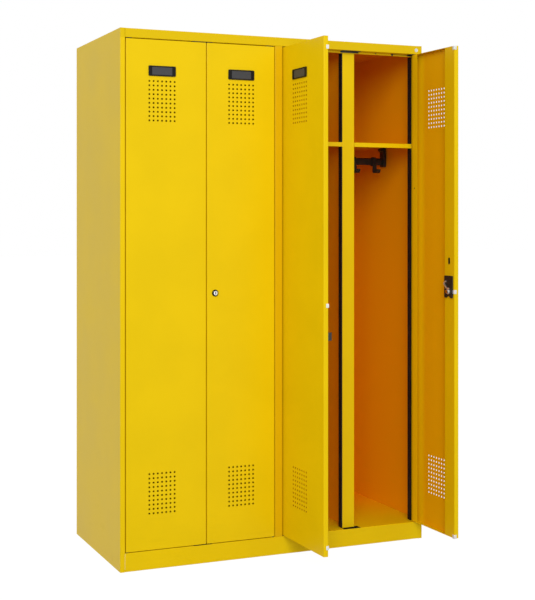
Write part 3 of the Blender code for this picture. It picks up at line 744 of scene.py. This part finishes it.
def doorway(number):
    """Left and right face of the frame beside a doorway."""
    left_half = number <= 2
    stile_low, stile_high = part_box("centre_stile")
    post_low, post_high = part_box("partition_post_left" if left_half else "partition_post_right")
    if number % 2:
        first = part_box("side_panel_left")[1].x if left_half else stile_high.x
        return first, post_low.x
    last = stile_low.x if left_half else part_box("side_panel_right")[0].x
    return post_high.x, last


def front_face():
    """Place of the front face of the frame, from front to back."""
    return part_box("side_panel_left")[0].y


def stop_face():
    """Place of the front of the posts, from front to back."""
    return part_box("partition_post_left")[0].y


# Seals

STRIKE_SLOT = (0.002, 0.041)  # lowest and highest place, above the lock
SEAL_FRONT_SHARE = 0.35  # of the thickness, in front of the lip
SEAL_RIDGE_SHARE = 0.2  # of the depth, beside the groove
SEAL_GROOVE_SHARE = 0.25  # of the thickness


def strike_slot(number):
    """Lowest and highest place of the post's slot for the lock's cam."""
    low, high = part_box(f"lock_plug_{number}")
    return [(low.z + high.z) / 2 + height for height in STRIKE_SLOT]


def doorway_seal(name, face_x, inwards, breaks, wrapped):
    """One seal, in the stretches between the heights where it is broken."""
    trim = bpy.context.scene.locker_trim
    thick, gap = trim.seal_thickness, trim.seal_margin
    close, front_y = gap / 4, stop_face()
    low_y = front_y - thick * SEAL_FRONT_SHARE if wrapped else front_y + trim.seal_wrap
    high_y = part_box("partition_post_left")[1].y - gap
    near, far = sorted((face_x + inwards * close, face_x + inwards * thick))
    stretches = []
    for low_z, high_z in zip(breaks[::2], breaks[1::2]):
        stretch = add_slab(name, (near, low_y, low_z + gap), (far, high_y, high_z - gap))
        edit()
        choose_facing(stretch, (inwards, 0, 0))
        bpy.ops.mesh.inset(thickness=(high_y - low_y) * SEAL_RIDGE_SHARE, depth=0)
        push((-inwards * thick * SEAL_GROOVE_SHARE, 0, 0))
        if wrapped:
            split((0, front_y - close, 0), BACK)
            choose_facing(stretch, (-inwards, 0, 0), lambda middle: middle.y < front_y)
            push((-inwards * trim.seal_wrap, 0, 0))
        done()
        soften(stretch, thick / 4)
        stretches.append(stretch)
    dress(joined(stretches, name), seal_rubber())


# Bumpers and label cards

WIDE_DROP, NARROW_DROP = 0.036, 0.007  # of the top bumper, below the door's top
WIDE_SHIFT = -0.031  # of a wide door's middle bumper, above the door's middle
BOTTOM_SHARE = 0.8  # of the drop, at the bottom
BUMPER_SIDE_SHARE = 0.9  # of the wrap, on the door's side

CARD_END_SHARE, CARD_SIDE_SHARE = 0.13, 0.12  # of the holder, beside the card
HOLDER_DEPTH = 0.0012
CARD_FRONT, CARD_BACK = 0.0006, 0.0001  # in front of the holder's sunken field
CARD_RIM, CARD_SLOPE, CARD_SUNK, CARD_ROUNDING = 0.0012, 0.0003, 0.0002, 0.0001


def door_bumper(number, place, height):
    """One bumper, on a door's inner face and round its free edge."""
    trim = bpy.context.scene.locker_trim
    side = door_side(number)
    low, high = door_box(number)
    edge_x = high.x if side > 0 else low.x
    proud, close = trim.bumper_thickness / 2, trim.seal_margin / 4
    near, far = sorted((edge_x + side * proud, edge_x - side * trim.bumper_wrap))
    reach = trim.bumper_height / 2
    piece = add_slab(
        f"door_bumper_{number}_{place}",
        (near, high.y + close, height - reach),
        (far, high.y + trim.bumper_thickness, height + reach),
    )
    edit()
    split((edge_x + side * close, 0, 0), (1, 0, 0))
    choose_facing(piece, FRONT, lambda middle: (middle.x - edge_x) * side > 0)
    push((0, -trim.bumper_wrap * BUMPER_SIDE_SHARE, 0))
    done()
    soften(piece, proud / 2)
    dress_on_door(piece, number, material_named("bumper_clear_soft", bumper_finish))


def label_card(number):
    """A blank card with a sunken field, in a label holder."""
    low, high = door_box(number, "label_holder")
    end, side = (high.x - low.x) * CARD_END_SHARE, (high.z - low.z) * CARD_SIDE_SHARE
    floor_y = low.y + HOLDER_DEPTH
    piece = add_slab(
        f"label_card_{number}",
        (low.x + end, floor_y - CARD_FRONT, low.z + side),
        (high.x - end, floor_y - CARD_BACK, high.z - side),
    )
    sink(piece, FRONT, CARD_RIM, CARD_SLOPE, CARD_SUNK)
    bevel_all(piece, CARD_ROUNDING)
    card = material_named("blank_label_card", card_finish)
    dress_on_door(piece, number, card)


# Rivets, stop buttons, plugs and disc

HEAD_SHARE = 0.35  # height of a rivet's head, of its radius
RIVET_IN, RIVET_HEIGHT_SHARE = 0.018, 0.714  # from the hinge edge, and of the door's height
BUTTON_RISE = 0.0045  # above the stop flange's lower edge
BUTTONS = ((0.088, 0.8), (0.157, 1.65))  # place from the post, and size against a rivet
SHADOW_STRIP_SHARE, SHADOW_STRIP_END = 0.2, 0.001  # thickness of a rivet's radius, and gap at the far end

PLUG_ABOVE_LOCK = 0.1065
PLUG_HALF_WIDTH, PLUG_HALF_HEIGHT, PLUG_THICKNESS = 0.0048, 0.0118, 0.0007
PLUG_RIM, PLUG_SLOPE = 0.0012, 0.0003

DISC_FROM_SIDE, DISC_FROM_TOP = 0.024, 0.016
DISC_SHARE = 0.12  # thickness, of the radius


def button(name, place, way, size=1):
    """A low dome with a sunken middle, on a face."""
    rivet = bpy.context.scene.locker_trim.rivet_radius
    radius, head = rivet * size, rivet * HEAD_SHARE
    middle = Vector(place) + Vector(way) * (head / 2 + AIR)
    piece = add_round(name, radius, head, middle, way, 20)
    sink(piece, way, radius * 0.45, radius * 0.12, head * 0.4)
    soften(piece, head * 0.3)
    return piece


def lip_rivet(number):
    """The rivet in a door's lip beside its hinge."""
    side = door_side(number)
    low, high = door_box(number)
    hinge_x = low.x if side > 0 else high.x
    height = low.z + (high.z - low.z) * RIVET_HEIGHT_SHARE
    piece = button(f"lip_rivet_{number}", (hinge_x + side * RIVET_IN, high.y, height), BACK)
    dress_on_door(piece, number, material_named("painted_rivet", rivet_finish))


def stop_buttons(half, number):
    """Two stop buttons over a locked door, and a flat black strip from the larger to the hinge
    that stands in for the shadow line along the header's lower edge.
    """
    post_x, end_x = doorway(number)
    stop_y, height = stop_face(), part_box("roof_panel")[0].z + BUTTON_RISE
    for index, (step, size) in enumerate(BUTTONS):
        place = (post_x + step, stop_y, height)
        dress(button(f"stop_button_{half}_{index + 1}", place, FRONT, size), moulded_black())
    # Painted shadow: the black strip where the header's lower edge shows a shadow line
    thick = bpy.context.scene.locker_trim.rivet_radius * SHADOW_STRIP_SHARE
    shadow_strip = add_slab(
        f"header_shadow_strip_{half}",
        (post_x + BUTTONS[-1][0], stop_y - thick - AIR, height - thick),
        (end_x - SHADOW_STRIP_END, stop_y - AIR, height + thick * 1.5),
    )
    bevel_all(shadow_strip, thick * 0.4)
    dress(shadow_strip, moulded_black())


def rod_plug(number):
    """The plug over the slot for a locking rod, in the lip above the lock."""
    lip_y = door_box(number)[1].y
    low, high = door_box(number, "lock_plug")
    x, z = (low.x + high.x) / 2, (low.z + high.z) / 2 + PLUG_ABOVE_LOCK
    wide, tall, thick = PLUG_HALF_WIDTH, PLUG_HALF_HEIGHT, PLUG_THICKNESS
    piece = add_plate(f"rod_slot_plug_{number}", x, z, wide, tall, lip_y + AIR, lip_y + thick)
    edit()
    choose(
        piece, "EDGE",
        lambda middle, edge: abs(middle.x - x) > wide * 0.9 and abs(middle.z - z) > tall * 0.9,
    )
    bpy.ops.mesh.bevel(offset=wide * 0.95, segments=6)
    done()
    sink(piece, BACK, PLUG_RIM, PLUG_SLOPE, thick * 0.5)
    soften(piece, thick * 0.2)
    dress_on_door(piece, number, seal_rubber())


def blank_disc():
    """The plain disc near the header's right end."""
    radius = bpy.context.scene.locker_trim.disc_radius
    depth = radius * DISC_SHARE
    low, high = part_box("side_panel_right")
    place = (high.x - DISC_FROM_SIDE, low.y - depth / 2 - AIR, high.z - DISC_FROM_TOP)
    piece = add_round("blank_disc", radius, depth, place, FRONT, 40)
    sink(piece, FRONT, radius * 0.14, radius * 0.05, depth * 0.35)
    soften(piece, depth * 0.25)
    dress(piece, disc_finish("satin_blank_disc"))


# Lock fronts

LOCK_SIDES = 36
WAIST_SHARE = 0.97  # narrowing of the collar, and start of the cone
RIM_SHARE = 0.2  # of the cone's wall, left at its front
KEY_HEIGHT_SHARE = 1.3  # half height of the keyhole, of its width
KEY_DEPTH_SHARE = 0.6  # of the face's thickness
SHUTTER_SHARE = 0.98  # of the keyhole
SHUTTER_FRONT_SHARE, SHUTTER_BACK_SHARE = 0.12, 0.59  # of the face's thickness


def ring(name, centre, radii, places):
    """A ring whose front is narrower: outer, front and bore radius, then back and front."""
    outer, front, bore = radii
    base_y, front_y = places
    middle = Vector((centre.x, (base_y + front_y) / 2, centre.z))
    depth = base_y - front_y
    piece = add_round(name, outer, depth, middle, FRONT, LOCK_SIDES)
    edit()
    choose(piece, "FACE", lambda place, face: abs(face.normal.y) > FACING)
    bpy.ops.mesh.inset(thickness=outer - bore, depth=0)
    bpy.ops.mesh.bridge_edge_loops()
    between = (outer + bore) / 2
    choose(
        piece, "VERT",
        lambda place, vert: place.y < middle.y and (place - middle).xz.length > between,
    )
    share = front / outer
    rim = (centre.x, front_y, centre.z)
    bpy.ops.transform.resize(value=(share, 1, share), center_override=rim)
    bpy.ops.mesh.select_all(action="SELECT")
    bpy.ops.mesh.normals_make_consistent(inside=False)
    done()
    soften(piece, depth * 0.08)
    return piece


def lock_bezel(number, centre, radius, base_y, front_y):
    """A black collar round the plug, and a cone on it round the face."""
    trim = bpy.context.scene.locker_trim
    plug_low, plug_high = door_box(number, "lock_plug")
    clear = trim.seal_margin / 3
    bore = (plug_high.z - plug_low.z) / 2 + clear
    step_y = plug_low.y - clear / 4
    waist = radius * WAIST_SHARE
    face_bore = trim.lock_face_radius + clear
    rim = face_bore + (radius - face_bore) * RIM_SHARE
    collar = ring("collar", centre, (radius, waist, bore), (base_y, step_y))
    cone = ring("cone", centre, (waist, rim, face_bore), (step_y, front_y))
    piece = joined([collar, cone], f"lock_bezel_{number}")
    dress_on_door(piece, number, lock_black())
    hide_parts(f"lock_ring_{number}")


def lock_face(number, centre, base_y, front_y):
    """The bright face, cut for the key, and the shutter in the cut."""
    trim = bpy.context.scene.locker_trim
    middle = (centre.x, (base_y + front_y) / 2, centre.z)
    depth = base_y - front_y
    name = f"lock_face_{number}"
    piece = add_round(name, trim.lock_face_radius, depth, middle, FRONT, LOCK_SIDES)
    bevel_all(piece, depth * 0.12)
    wide, tall = trim.keyhole_width / 2, trim.keyhole_width * KEY_HEIGHT_SHARE
    spot = centre.x, centre.z
    deep = front_y + depth * KEY_DEPTH_SHARE
    cutter = add_plate("keyhole_cutter", *spot, wide, tall, front_y - depth, deep)
    only(piece)
    modifier = piece.modifiers.new("keyhole", "BOOLEAN")
    modifier.object = cutter
    bpy.ops.object.modifier_apply(modifier=modifier.name)
    bpy.data.objects.remove(cutter)
    smooth(piece)
    nickel = material_named("bright_nickel", nickel_finish)
    dress_on_door(piece, number, nickel, "lock")
    size = wide * SHUTTER_SHARE, tall * SHUTTER_SHARE
    depths = (front_y + depth * share for share in (SHUTTER_FRONT_SHARE, SHUTTER_BACK_SHARE))
    shutter = add_plate(f"keyhole_shutter_{number}", *spot, *size, *depths)
    bevel_all(shutter, wide * 0.1)
    dress_on_door(shutter, number, lock_black(), body="lock")


# Black pads and shoes: painted shade in the gaps under the header and the slots at the posts' feet

PAD_THICKNESS, PAD_GAP = 0.0013, 0.0001
PAD_RIM, PAD_SLOPE = 0.0015, 0.0004
FLANGE_SHARE = 3.2  # of the pad's thickness, down over the stop flange
PAD_FRONT, PAD_BACK = 0.0006, 0.0001  # behind the frame's face, and before the posts
PIN_GAP = 0.0005
FIRST_REACH, REACH = 0.013, 0.023  # of the pads beside the hinge pins
PAD_LEFT, PAD_RIGHT = 0.005, 0.017  # past the post

TRAY_LEFT, TRAY_RIGHT = 0.003, 0.019  # past the post
TRAY_FRONT, TRAY_BACK = 0.0012, 0.036  # behind the frame's face
TRAY_BELOW, TRAY_HEIGHT = 0.0011, 0.006
TRAY_WALL, TRAY_DEPTH, TRAY_ROUNDING = 0.0018, 0.0045, 0.0003
LIP_LEFT, LIP_RIGHT = 0.0002, 0.0155
LIP_FRONT, LIP_BACK = 0.0002, 0.0035
LIP_GAP, LIP_TOP, LIP_ROUNDING = 0.00004, 0.0005, 0.0001


def header_shadow_pad(name, first, last):
    """A black pad under the header, as painted shade in the gap there, whose back edge reaches
    down over the stop flange.
    """
    thick, top_z = PAD_THICKNESS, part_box("centre_stile")[1].z
    low_y, high_y = front_face() + PAD_FRONT, stop_face() - PAD_BACK
    piece = add_slab(name, (first, low_y, top_z - thick), (last, high_y, top_z - PAD_GAP))
    bend, down = high_y - thick / 4, (0, 0, -1)
    edit()
    split((0, bend, 0), BACK)
    choose_facing(piece, down, lambda middle: middle.y > bend)
    push((0, 0, -thick * FLANGE_SHARE))
    done()
    sink(piece, down, PAD_RIM, PAD_SLOPE, thick * 0.3, lambda middle: middle.y < bend)
    soften(piece, thick * 0.25)
    dress(piece, moulded_black())


def post_shadow_shoe(name, post_low, post_high):
    """The black tray under the floor's slot at the foot of a post, and the black lip in front of
    it: painted shade in the slot.
    """
    front, floor_z = front_face(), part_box("floor_panel")[1].z
    top_z = floor_z - TRAY_BELOW
    tray = add_slab(
        name,
        (post_low.x - TRAY_LEFT, front + TRAY_FRONT, top_z - TRAY_HEIGHT),
        (post_high.x + TRAY_RIGHT, front + TRAY_BACK, top_z),
    )
    edit()
    choose_facing(tray, (0, 0, 1))
    bpy.ops.mesh.inset(thickness=TRAY_WALL, depth=0)
    push((0, 0, -TRAY_DEPTH))
    done()
    bevel_all(tray, TRAY_ROUNDING)
    lip = add_slab(
        "shoe_lip",
        (post_low.x - LIP_LEFT, front + LIP_FRONT, floor_z + LIP_GAP),
        (post_high.x + LIP_RIGHT, front + LIP_BACK, floor_z + LIP_TOP),
    )
    bevel_all(lip, LIP_ROUNDING)
    piece = joined([tray, lip], name)
    smooth(piece)
    dress(piece, seal_rubber())


# Welded joints

JOINT = 0.0003  # between two sheets
SEAM_FRONT, SEAM_BACK = 0.00004, 0.0009  # behind the frame's face
SIDE_STILE, HALF_STILE = 0.017, 0.0125
FLOOR_GAP, HEADER_GAP, ROOF_GAP = 0.0015, 0.001, 0.002
SEAM_ROUNDING = 0.00003


def seam(low_x, high_x, low_z, high_z):
    low = (low_x, front_face() + SEAM_FRONT, low_z)
    return add_slab("seam", low, (high_x, front_face() + SEAM_BACK, high_z))


def weld_seams():
    """The filler beside the side panels' stiles, and at both ends of the centre stile."""
    floor_z, roof_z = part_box("floor_panel")[1].z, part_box("roof_panel")[1].z
    stile_low, stile_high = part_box("centre_stile")
    header_z = stile_high.z + JOINT
    heights = (FLOOR_GAP, floor_z - FLOOR_GAP), (header_z + HEADER_GAP, roof_z - ROOF_GAP)
    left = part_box("side_panel_left")[0].x + SIDE_STILE
    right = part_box("side_panel_right")[1].x - SIDE_STILE
    pieces = []
    for ends in ((left, left + JOINT), (right - JOINT, right)):
        pieces += [seam(*ends, *height) for height in heights]
    for height in ((floor_z, stile_low.z), (stile_high.z, header_z)):
        pieces.append(seam(-HALF_STILE, HALF_STILE, *height))
    piece = joined(pieces, "frame_weld_seams")
    bevel_all(piece, SEAM_ROUNDING, 1)
    dress(piece, yellow_coat())


# Stage

PHOTO_WIDTH, PHOTO_HEIGHT = 535, 600
SENSOR_WIDTH, CLIP_END = 36.0, 100
AIM_HEIGHT = 0.9
FLOOR_SIZE, FLOOR_DROP = 60, 0.0005
FLOOR_GREY, FLOOR_GLOW = 0.45, 1.2


def white_floor(whiteness):
    """A white floor with a faint shadow."""
    only()
    bpy.ops.mesh.primitive_plane_add(size=FLOOR_SIZE, location=(0, 0, -FLOOR_DROP))
    floor = bpy.context.object
    floor.name = "studio_floor"
    material = bpy.data.materials.new("studio_floor_white")
    nodes = Nodes(material)
    nodes.tree.nodes.clear()
    grey = (FLOOR_GREY, FLOOR_GREY, FLOOR_GREY, 1)
    diffuse = nodes.node("ShaderNodeBsdfDiffuse", None, {"Color": grey})
    glow = nodes.node("ShaderNodeEmission", None, {"Strength": FLOOR_GLOW})
    seen = nodes.seen_rays() * whiteness
    nodes.mixed_shader(seen, diffuse, glow, "ShaderNodeOutputMaterial")
    floor.data.materials.append(material)


def even_sky(strength):
    """Even light all round, in front of plain white."""
    world = bpy.data.worlds.new("studio_sky")
    bpy.context.scene.world = world
    nodes = Nodes(world)
    nodes.tree.nodes.clear()
    light, white = (
        nodes.node("ShaderNodeBackground", None, {"Color": (1, 1, 1, 1), "Strength": power})
        for power in (strength, 1.0)
    )
    nodes.mixed_shader(nodes.seen_rays(), light, white, "ShaderNodeOutputWorld")


def key_lamp(stage):
    only()
    bpy.ops.object.light_add(type="AREA", location=stage.key_place)
    lamp = bpy.context.object
    lamp.name = "key_lamp"
    lamp.data.size = stage.key_size
    lamp.data.energy = stage.key_power
    aim = Vector((0, 0, AIM_HEIGHT)) - Vector(stage.key_place)
    lamp.rotation_euler = aim.to_track_quat("-Z", "Y").to_euler()


def photo_camera(stage):
    only()
    bpy.ops.object.camera_add(location=stage.camera_place)
    camera = bpy.context.object
    camera.name = "photo_camera"
    camera.rotation_euler = (math.radians(90), 0, -stage.camera_turn)
    camera.data.sensor_fit = "HORIZONTAL"
    camera.data.sensor_width = SENSOR_WIDTH
    camera.data.lens = stage.focal_pixels / PHOTO_WIDTH * SENSOR_WIDTH
    camera.data.shift_x = (PHOTO_WIDTH / 2 - stage.axis_pixel[0]) / PHOTO_WIDTH
    camera.data.shift_y = (stage.axis_pixel[1] - PHOTO_HEIGHT / 2) / PHOTO_WIDTH
    camera.data.clip_end = CLIP_END
    bpy.context.scene.camera = camera


# Operators

class LOCKER_OT_finish_metal(bpy.types.Operator):
    """Coat the sheet metal, and plate the pins and lock parts"""

    bl_idname = "locker.finish_metal"
    bl_label = "Finish metal"

    def execute(self, context):
        sheets = "side_panel", "centre_", "back_", "roof_", "floor_", "partition", "hat_shelf"
        cover(yellow_coat(), *sheets)
        for number in DOORS:
            name = f"door_{number}"
            cover(paint_finish(f"powder_coat_{name}", door_shading(number)), name)
        cover(chrome_finish("polished_chrome"), "lock_plug")
        cover(zinc_finish("bright_zinc_plate", (0.62, 0.84), 0.3, 0.8), "lock_cam")
        cover(zinc_finish("black_zinc_plate", (0.014, 0.028), 0.38, 0.5), "hinge_pin")
        return {"FINISHED"}


class LOCKER_OT_finish_plastic(bpy.types.Operator):
    """Give the rails, hooks, catches, cases and label holders their moulded plastic"""

    bl_idname = "locker.finish_plastic"
    bl_label = "Finish plastic"

    def execute(self, context):
        fittings = "coat_rail", "coat_hook", "door_catch", "lock_ring", "lock_case"
        cover(moulded_black(), *fittings)
        slate = plastic_finish("moulded_slate", (0.008, 0.0075, 0.007), 0.45, 0.15)
        cover(slate, "label_holder")
        return {"FINISHED"}


class LOCKER_OT_add_seals(bpy.types.Operator):
    """Add the black seals on the lips and posts beside each doorway"""

    bl_idname = "locker.add_seals"
    bl_label = "Seals"

    def execute(self, context):
        floor_top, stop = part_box("floor_panel")[1].z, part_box("roof_panel")[0].z
        for number in COMPARTMENTS:
            shelf = [corner.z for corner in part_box(f"hat_shelf_{number}")]
            for end, face_x, inwards in zip(HALVES, doorway(number), (1, -1)):
                name, breaks = f"doorway_seal_{number}_{end}", [floor_top, *shelf, stop]
                on_strike = number in LOCKED_DOORS and end == "left"
                if on_strike:
                    breaks[1:1] = strike_slot(number)
                doorway_seal(name, face_x, inwards, breaks, not on_strike)
        return {"FINISHED"}


class LOCKER_OT_add_bumpers(bpy.types.Operator):
    """Clip the whitish bumpers round the inner corner of each door's free edge"""

    bl_idname = "locker.add_bumpers"
    bl_label = "Bumpers"

    def execute(self, context):
        for number in DOORS:
            low, high = door_box(number)
            wide = number in WIDE_DOORS
            drop = WIDE_DROP if wide else NARROW_DROP
            door_bumper(number, "top", high.z - drop)
            door_bumper(number, "middle", (low.z + high.z) / 2 + (WIDE_SHIFT if wide else 0))
            door_bumper(number, "bottom", low.z + drop * BOTTOM_SHARE)
        return {"FINISHED"}


class LOCKER_OT_add_label_cards(bpy.types.Operator):
    """Slide a blank card into each label holder"""

    bl_idname = "locker.add_label_cards"
    bl_label = "Label cards"

    def execute(self, context):
        for number in DOORS:
            label_card(number)
        return {"FINISHED"}


class LOCKER_OT_add_rivets(bpy.types.Operator):
    """Set the rivets on the hinge lips, the rod plugs, and the stop buttons under the header"""

    bl_idname = "locker.add_rivets"
    bl_label = "Rivets and stop buttons"

    def execute(self, context):
        for number in DOORS:
            lip_rivet(number)
        for number in LOCKED_DOORS:
            rod_plug(number)
        for half, number in zip(HALVES, LOCKED_DOORS):
            stop_buttons(half, number)
        return {"FINISHED"}


class LOCKER_OT_add_lock_fronts(bpy.types.Operator):
    """Build the raised black bezel and the bright face with its keyhole on each lock"""

    bl_idname = "locker.add_lock_fronts"
    bl_label = "Lock fronts"

    def execute(self, context):
        trim = context.scene.locker_trim
        gap = trim.seal_margin / 8
        for number in LOCKED_DOORS:
            ring_low, ring_high = door_box(number, "lock_ring")
            plug_y = door_box(number, "lock_plug")[0].y
            centre = (ring_low + ring_high) / 2
            radius = (ring_high.z - ring_low.z) / 2 + trim.seal_margin
            front_y = ring_low.y - trim.lock_rise
            lock_bezel(number, centre, radius, ring_high.y, front_y)
            lock_face(number, centre, plug_y - gap, front_y - gap * 3)
        return {"FINISHED"}


class LOCKER_OT_add_shadow_pads(bpy.types.Operator):
    """Set the black pads under the header and the black shoes under the posts' feet, as painted
    shade in the gaps and slots there
    """

    bl_idname = "locker.add_gap_pads"
    bl_label = "Gap pads and shoes"

    def execute(self, context):
        for number in DOORS:
            pin_low, pin_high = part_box(f"hinge_pin_{number}_top")
            side = door_side(number)
            near = pin_high.x + PIN_GAP if side > 0 else pin_low.x - PIN_GAP
            reach = FIRST_REACH if number == 1 else REACH
            header_shadow_pad(f"hinge_shadow_pad_{number}", *sorted((near, near + side * reach)))
        for half in HALVES:
            low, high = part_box(f"partition_post_{half}")
            header_shadow_pad(f"post_shadow_pad_{half}", low.x - PAD_LEFT, high.x + PAD_RIGHT)
            post_shadow_shoe(f"post_shadow_shoe_{half}", low, high)
        return {"FINISHED"}


class LOCKER_OT_add_blank_disc(bpy.types.Operator):
    """Put a plain blank disc on the right end of the header"""

    bl_idname = "locker.add_blank_disc"
    bl_label = "Blank disc"

    def execute(self, context):
        blank_disc()
        return {"FINISHED"}


class LOCKER_OT_fill_seams(bpy.types.Operator):
    """Fill the welded joints of the front frame, which the coat covers on the real locker"""

    bl_idname = "locker.fill_seams"
    bl_label = "Welded joints"

    def execute(self, context):
        weld_seams()
        return {"FINISHED"}


class LOCKER_OT_set_stage(bpy.types.Operator):
    """Set the floor, the lamp, the sky and the camera"""

    bl_idname = "locker.set_stage"
    bl_label = "Stage"

    def execute(self, context):
        stage = context.scene.locker_stage
        white_floor(stage.floor_whiteness)
        even_sky(stage.sky_strength)
        key_lamp(stage)
        photo_camera(stage)
        context.scene.view_settings.view_transform = "Standard"
        return {"FINISHED"}


class LOCKER_PT_panel(bpy.types.Panel):
    """Lists the steps that finish the locker"""

    bl_idname = "LOCKER_PT_panel"
    bl_label = "Locker"
    bl_space_type = "VIEW_3D"
    bl_region_type = "UI"
    bl_category = "Locker"

    def draw(self, context):
        column = self.layout.column(align=True)
        for step in STEPS:
            column.operator(step.bl_idname)
        for name, group in GROUPS.items():
            box = self.layout.box()
            for item in group.__annotations__:
                box.prop(getattr(context.scene, name), item)


STEPS = (
    LOCKER_OT_finish_metal,
    LOCKER_OT_finish_plastic,
    LOCKER_OT_add_seals,
    LOCKER_OT_add_bumpers,
    LOCKER_OT_add_label_cards,
    LOCKER_OT_add_rivets,
    LOCKER_OT_add_lock_fronts,
    LOCKER_OT_add_shadow_pads,
    LOCKER_OT_add_blank_disc,
    LOCKER_OT_fill_seams,
    LOCKER_OT_set_stage,
)
GROUPS = {"locker_paint": LockerPaint, "locker_trim": LockerTrim, "locker_stage": LockerStage}


def register():
    for name, group in GROUPS.items():
        bpy.utils.register_class(group)
        setattr(bpy.types.Scene, name, bpy.props.PointerProperty(type=group))
    for step in STEPS:
        bpy.utils.register_class(step)
    bpy.utils.register_class(LOCKER_PT_panel)


def unregister():
    bpy.utils.unregister_class(LOCKER_PT_panel)
    for step in reversed(STEPS):
        bpy.utils.unregister_class(step)
    for name, group in GROUPS.items():
        delattr(bpy.types.Scene, name)
        bpy.utils.unregister_class(group)


def main():
    register()
    bpy.ops.locker.finish_metal()
    bpy.ops.locker.finish_plastic()
    bpy.ops.locker.add_seals()
    bpy.ops.locker.add_bumpers()
    bpy.ops.locker.add_label_cards()
    bpy.ops.locker.add_rivets()
    bpy.ops.locker.add_lock_fronts()
    bpy.ops.locker.add_gap_pads()
    bpy.ops.locker.add_blank_disc()
    bpy.ops.locker.fill_seams()
    bpy.ops.locker.set_stage()


if __name__ == "__main__":
    main()
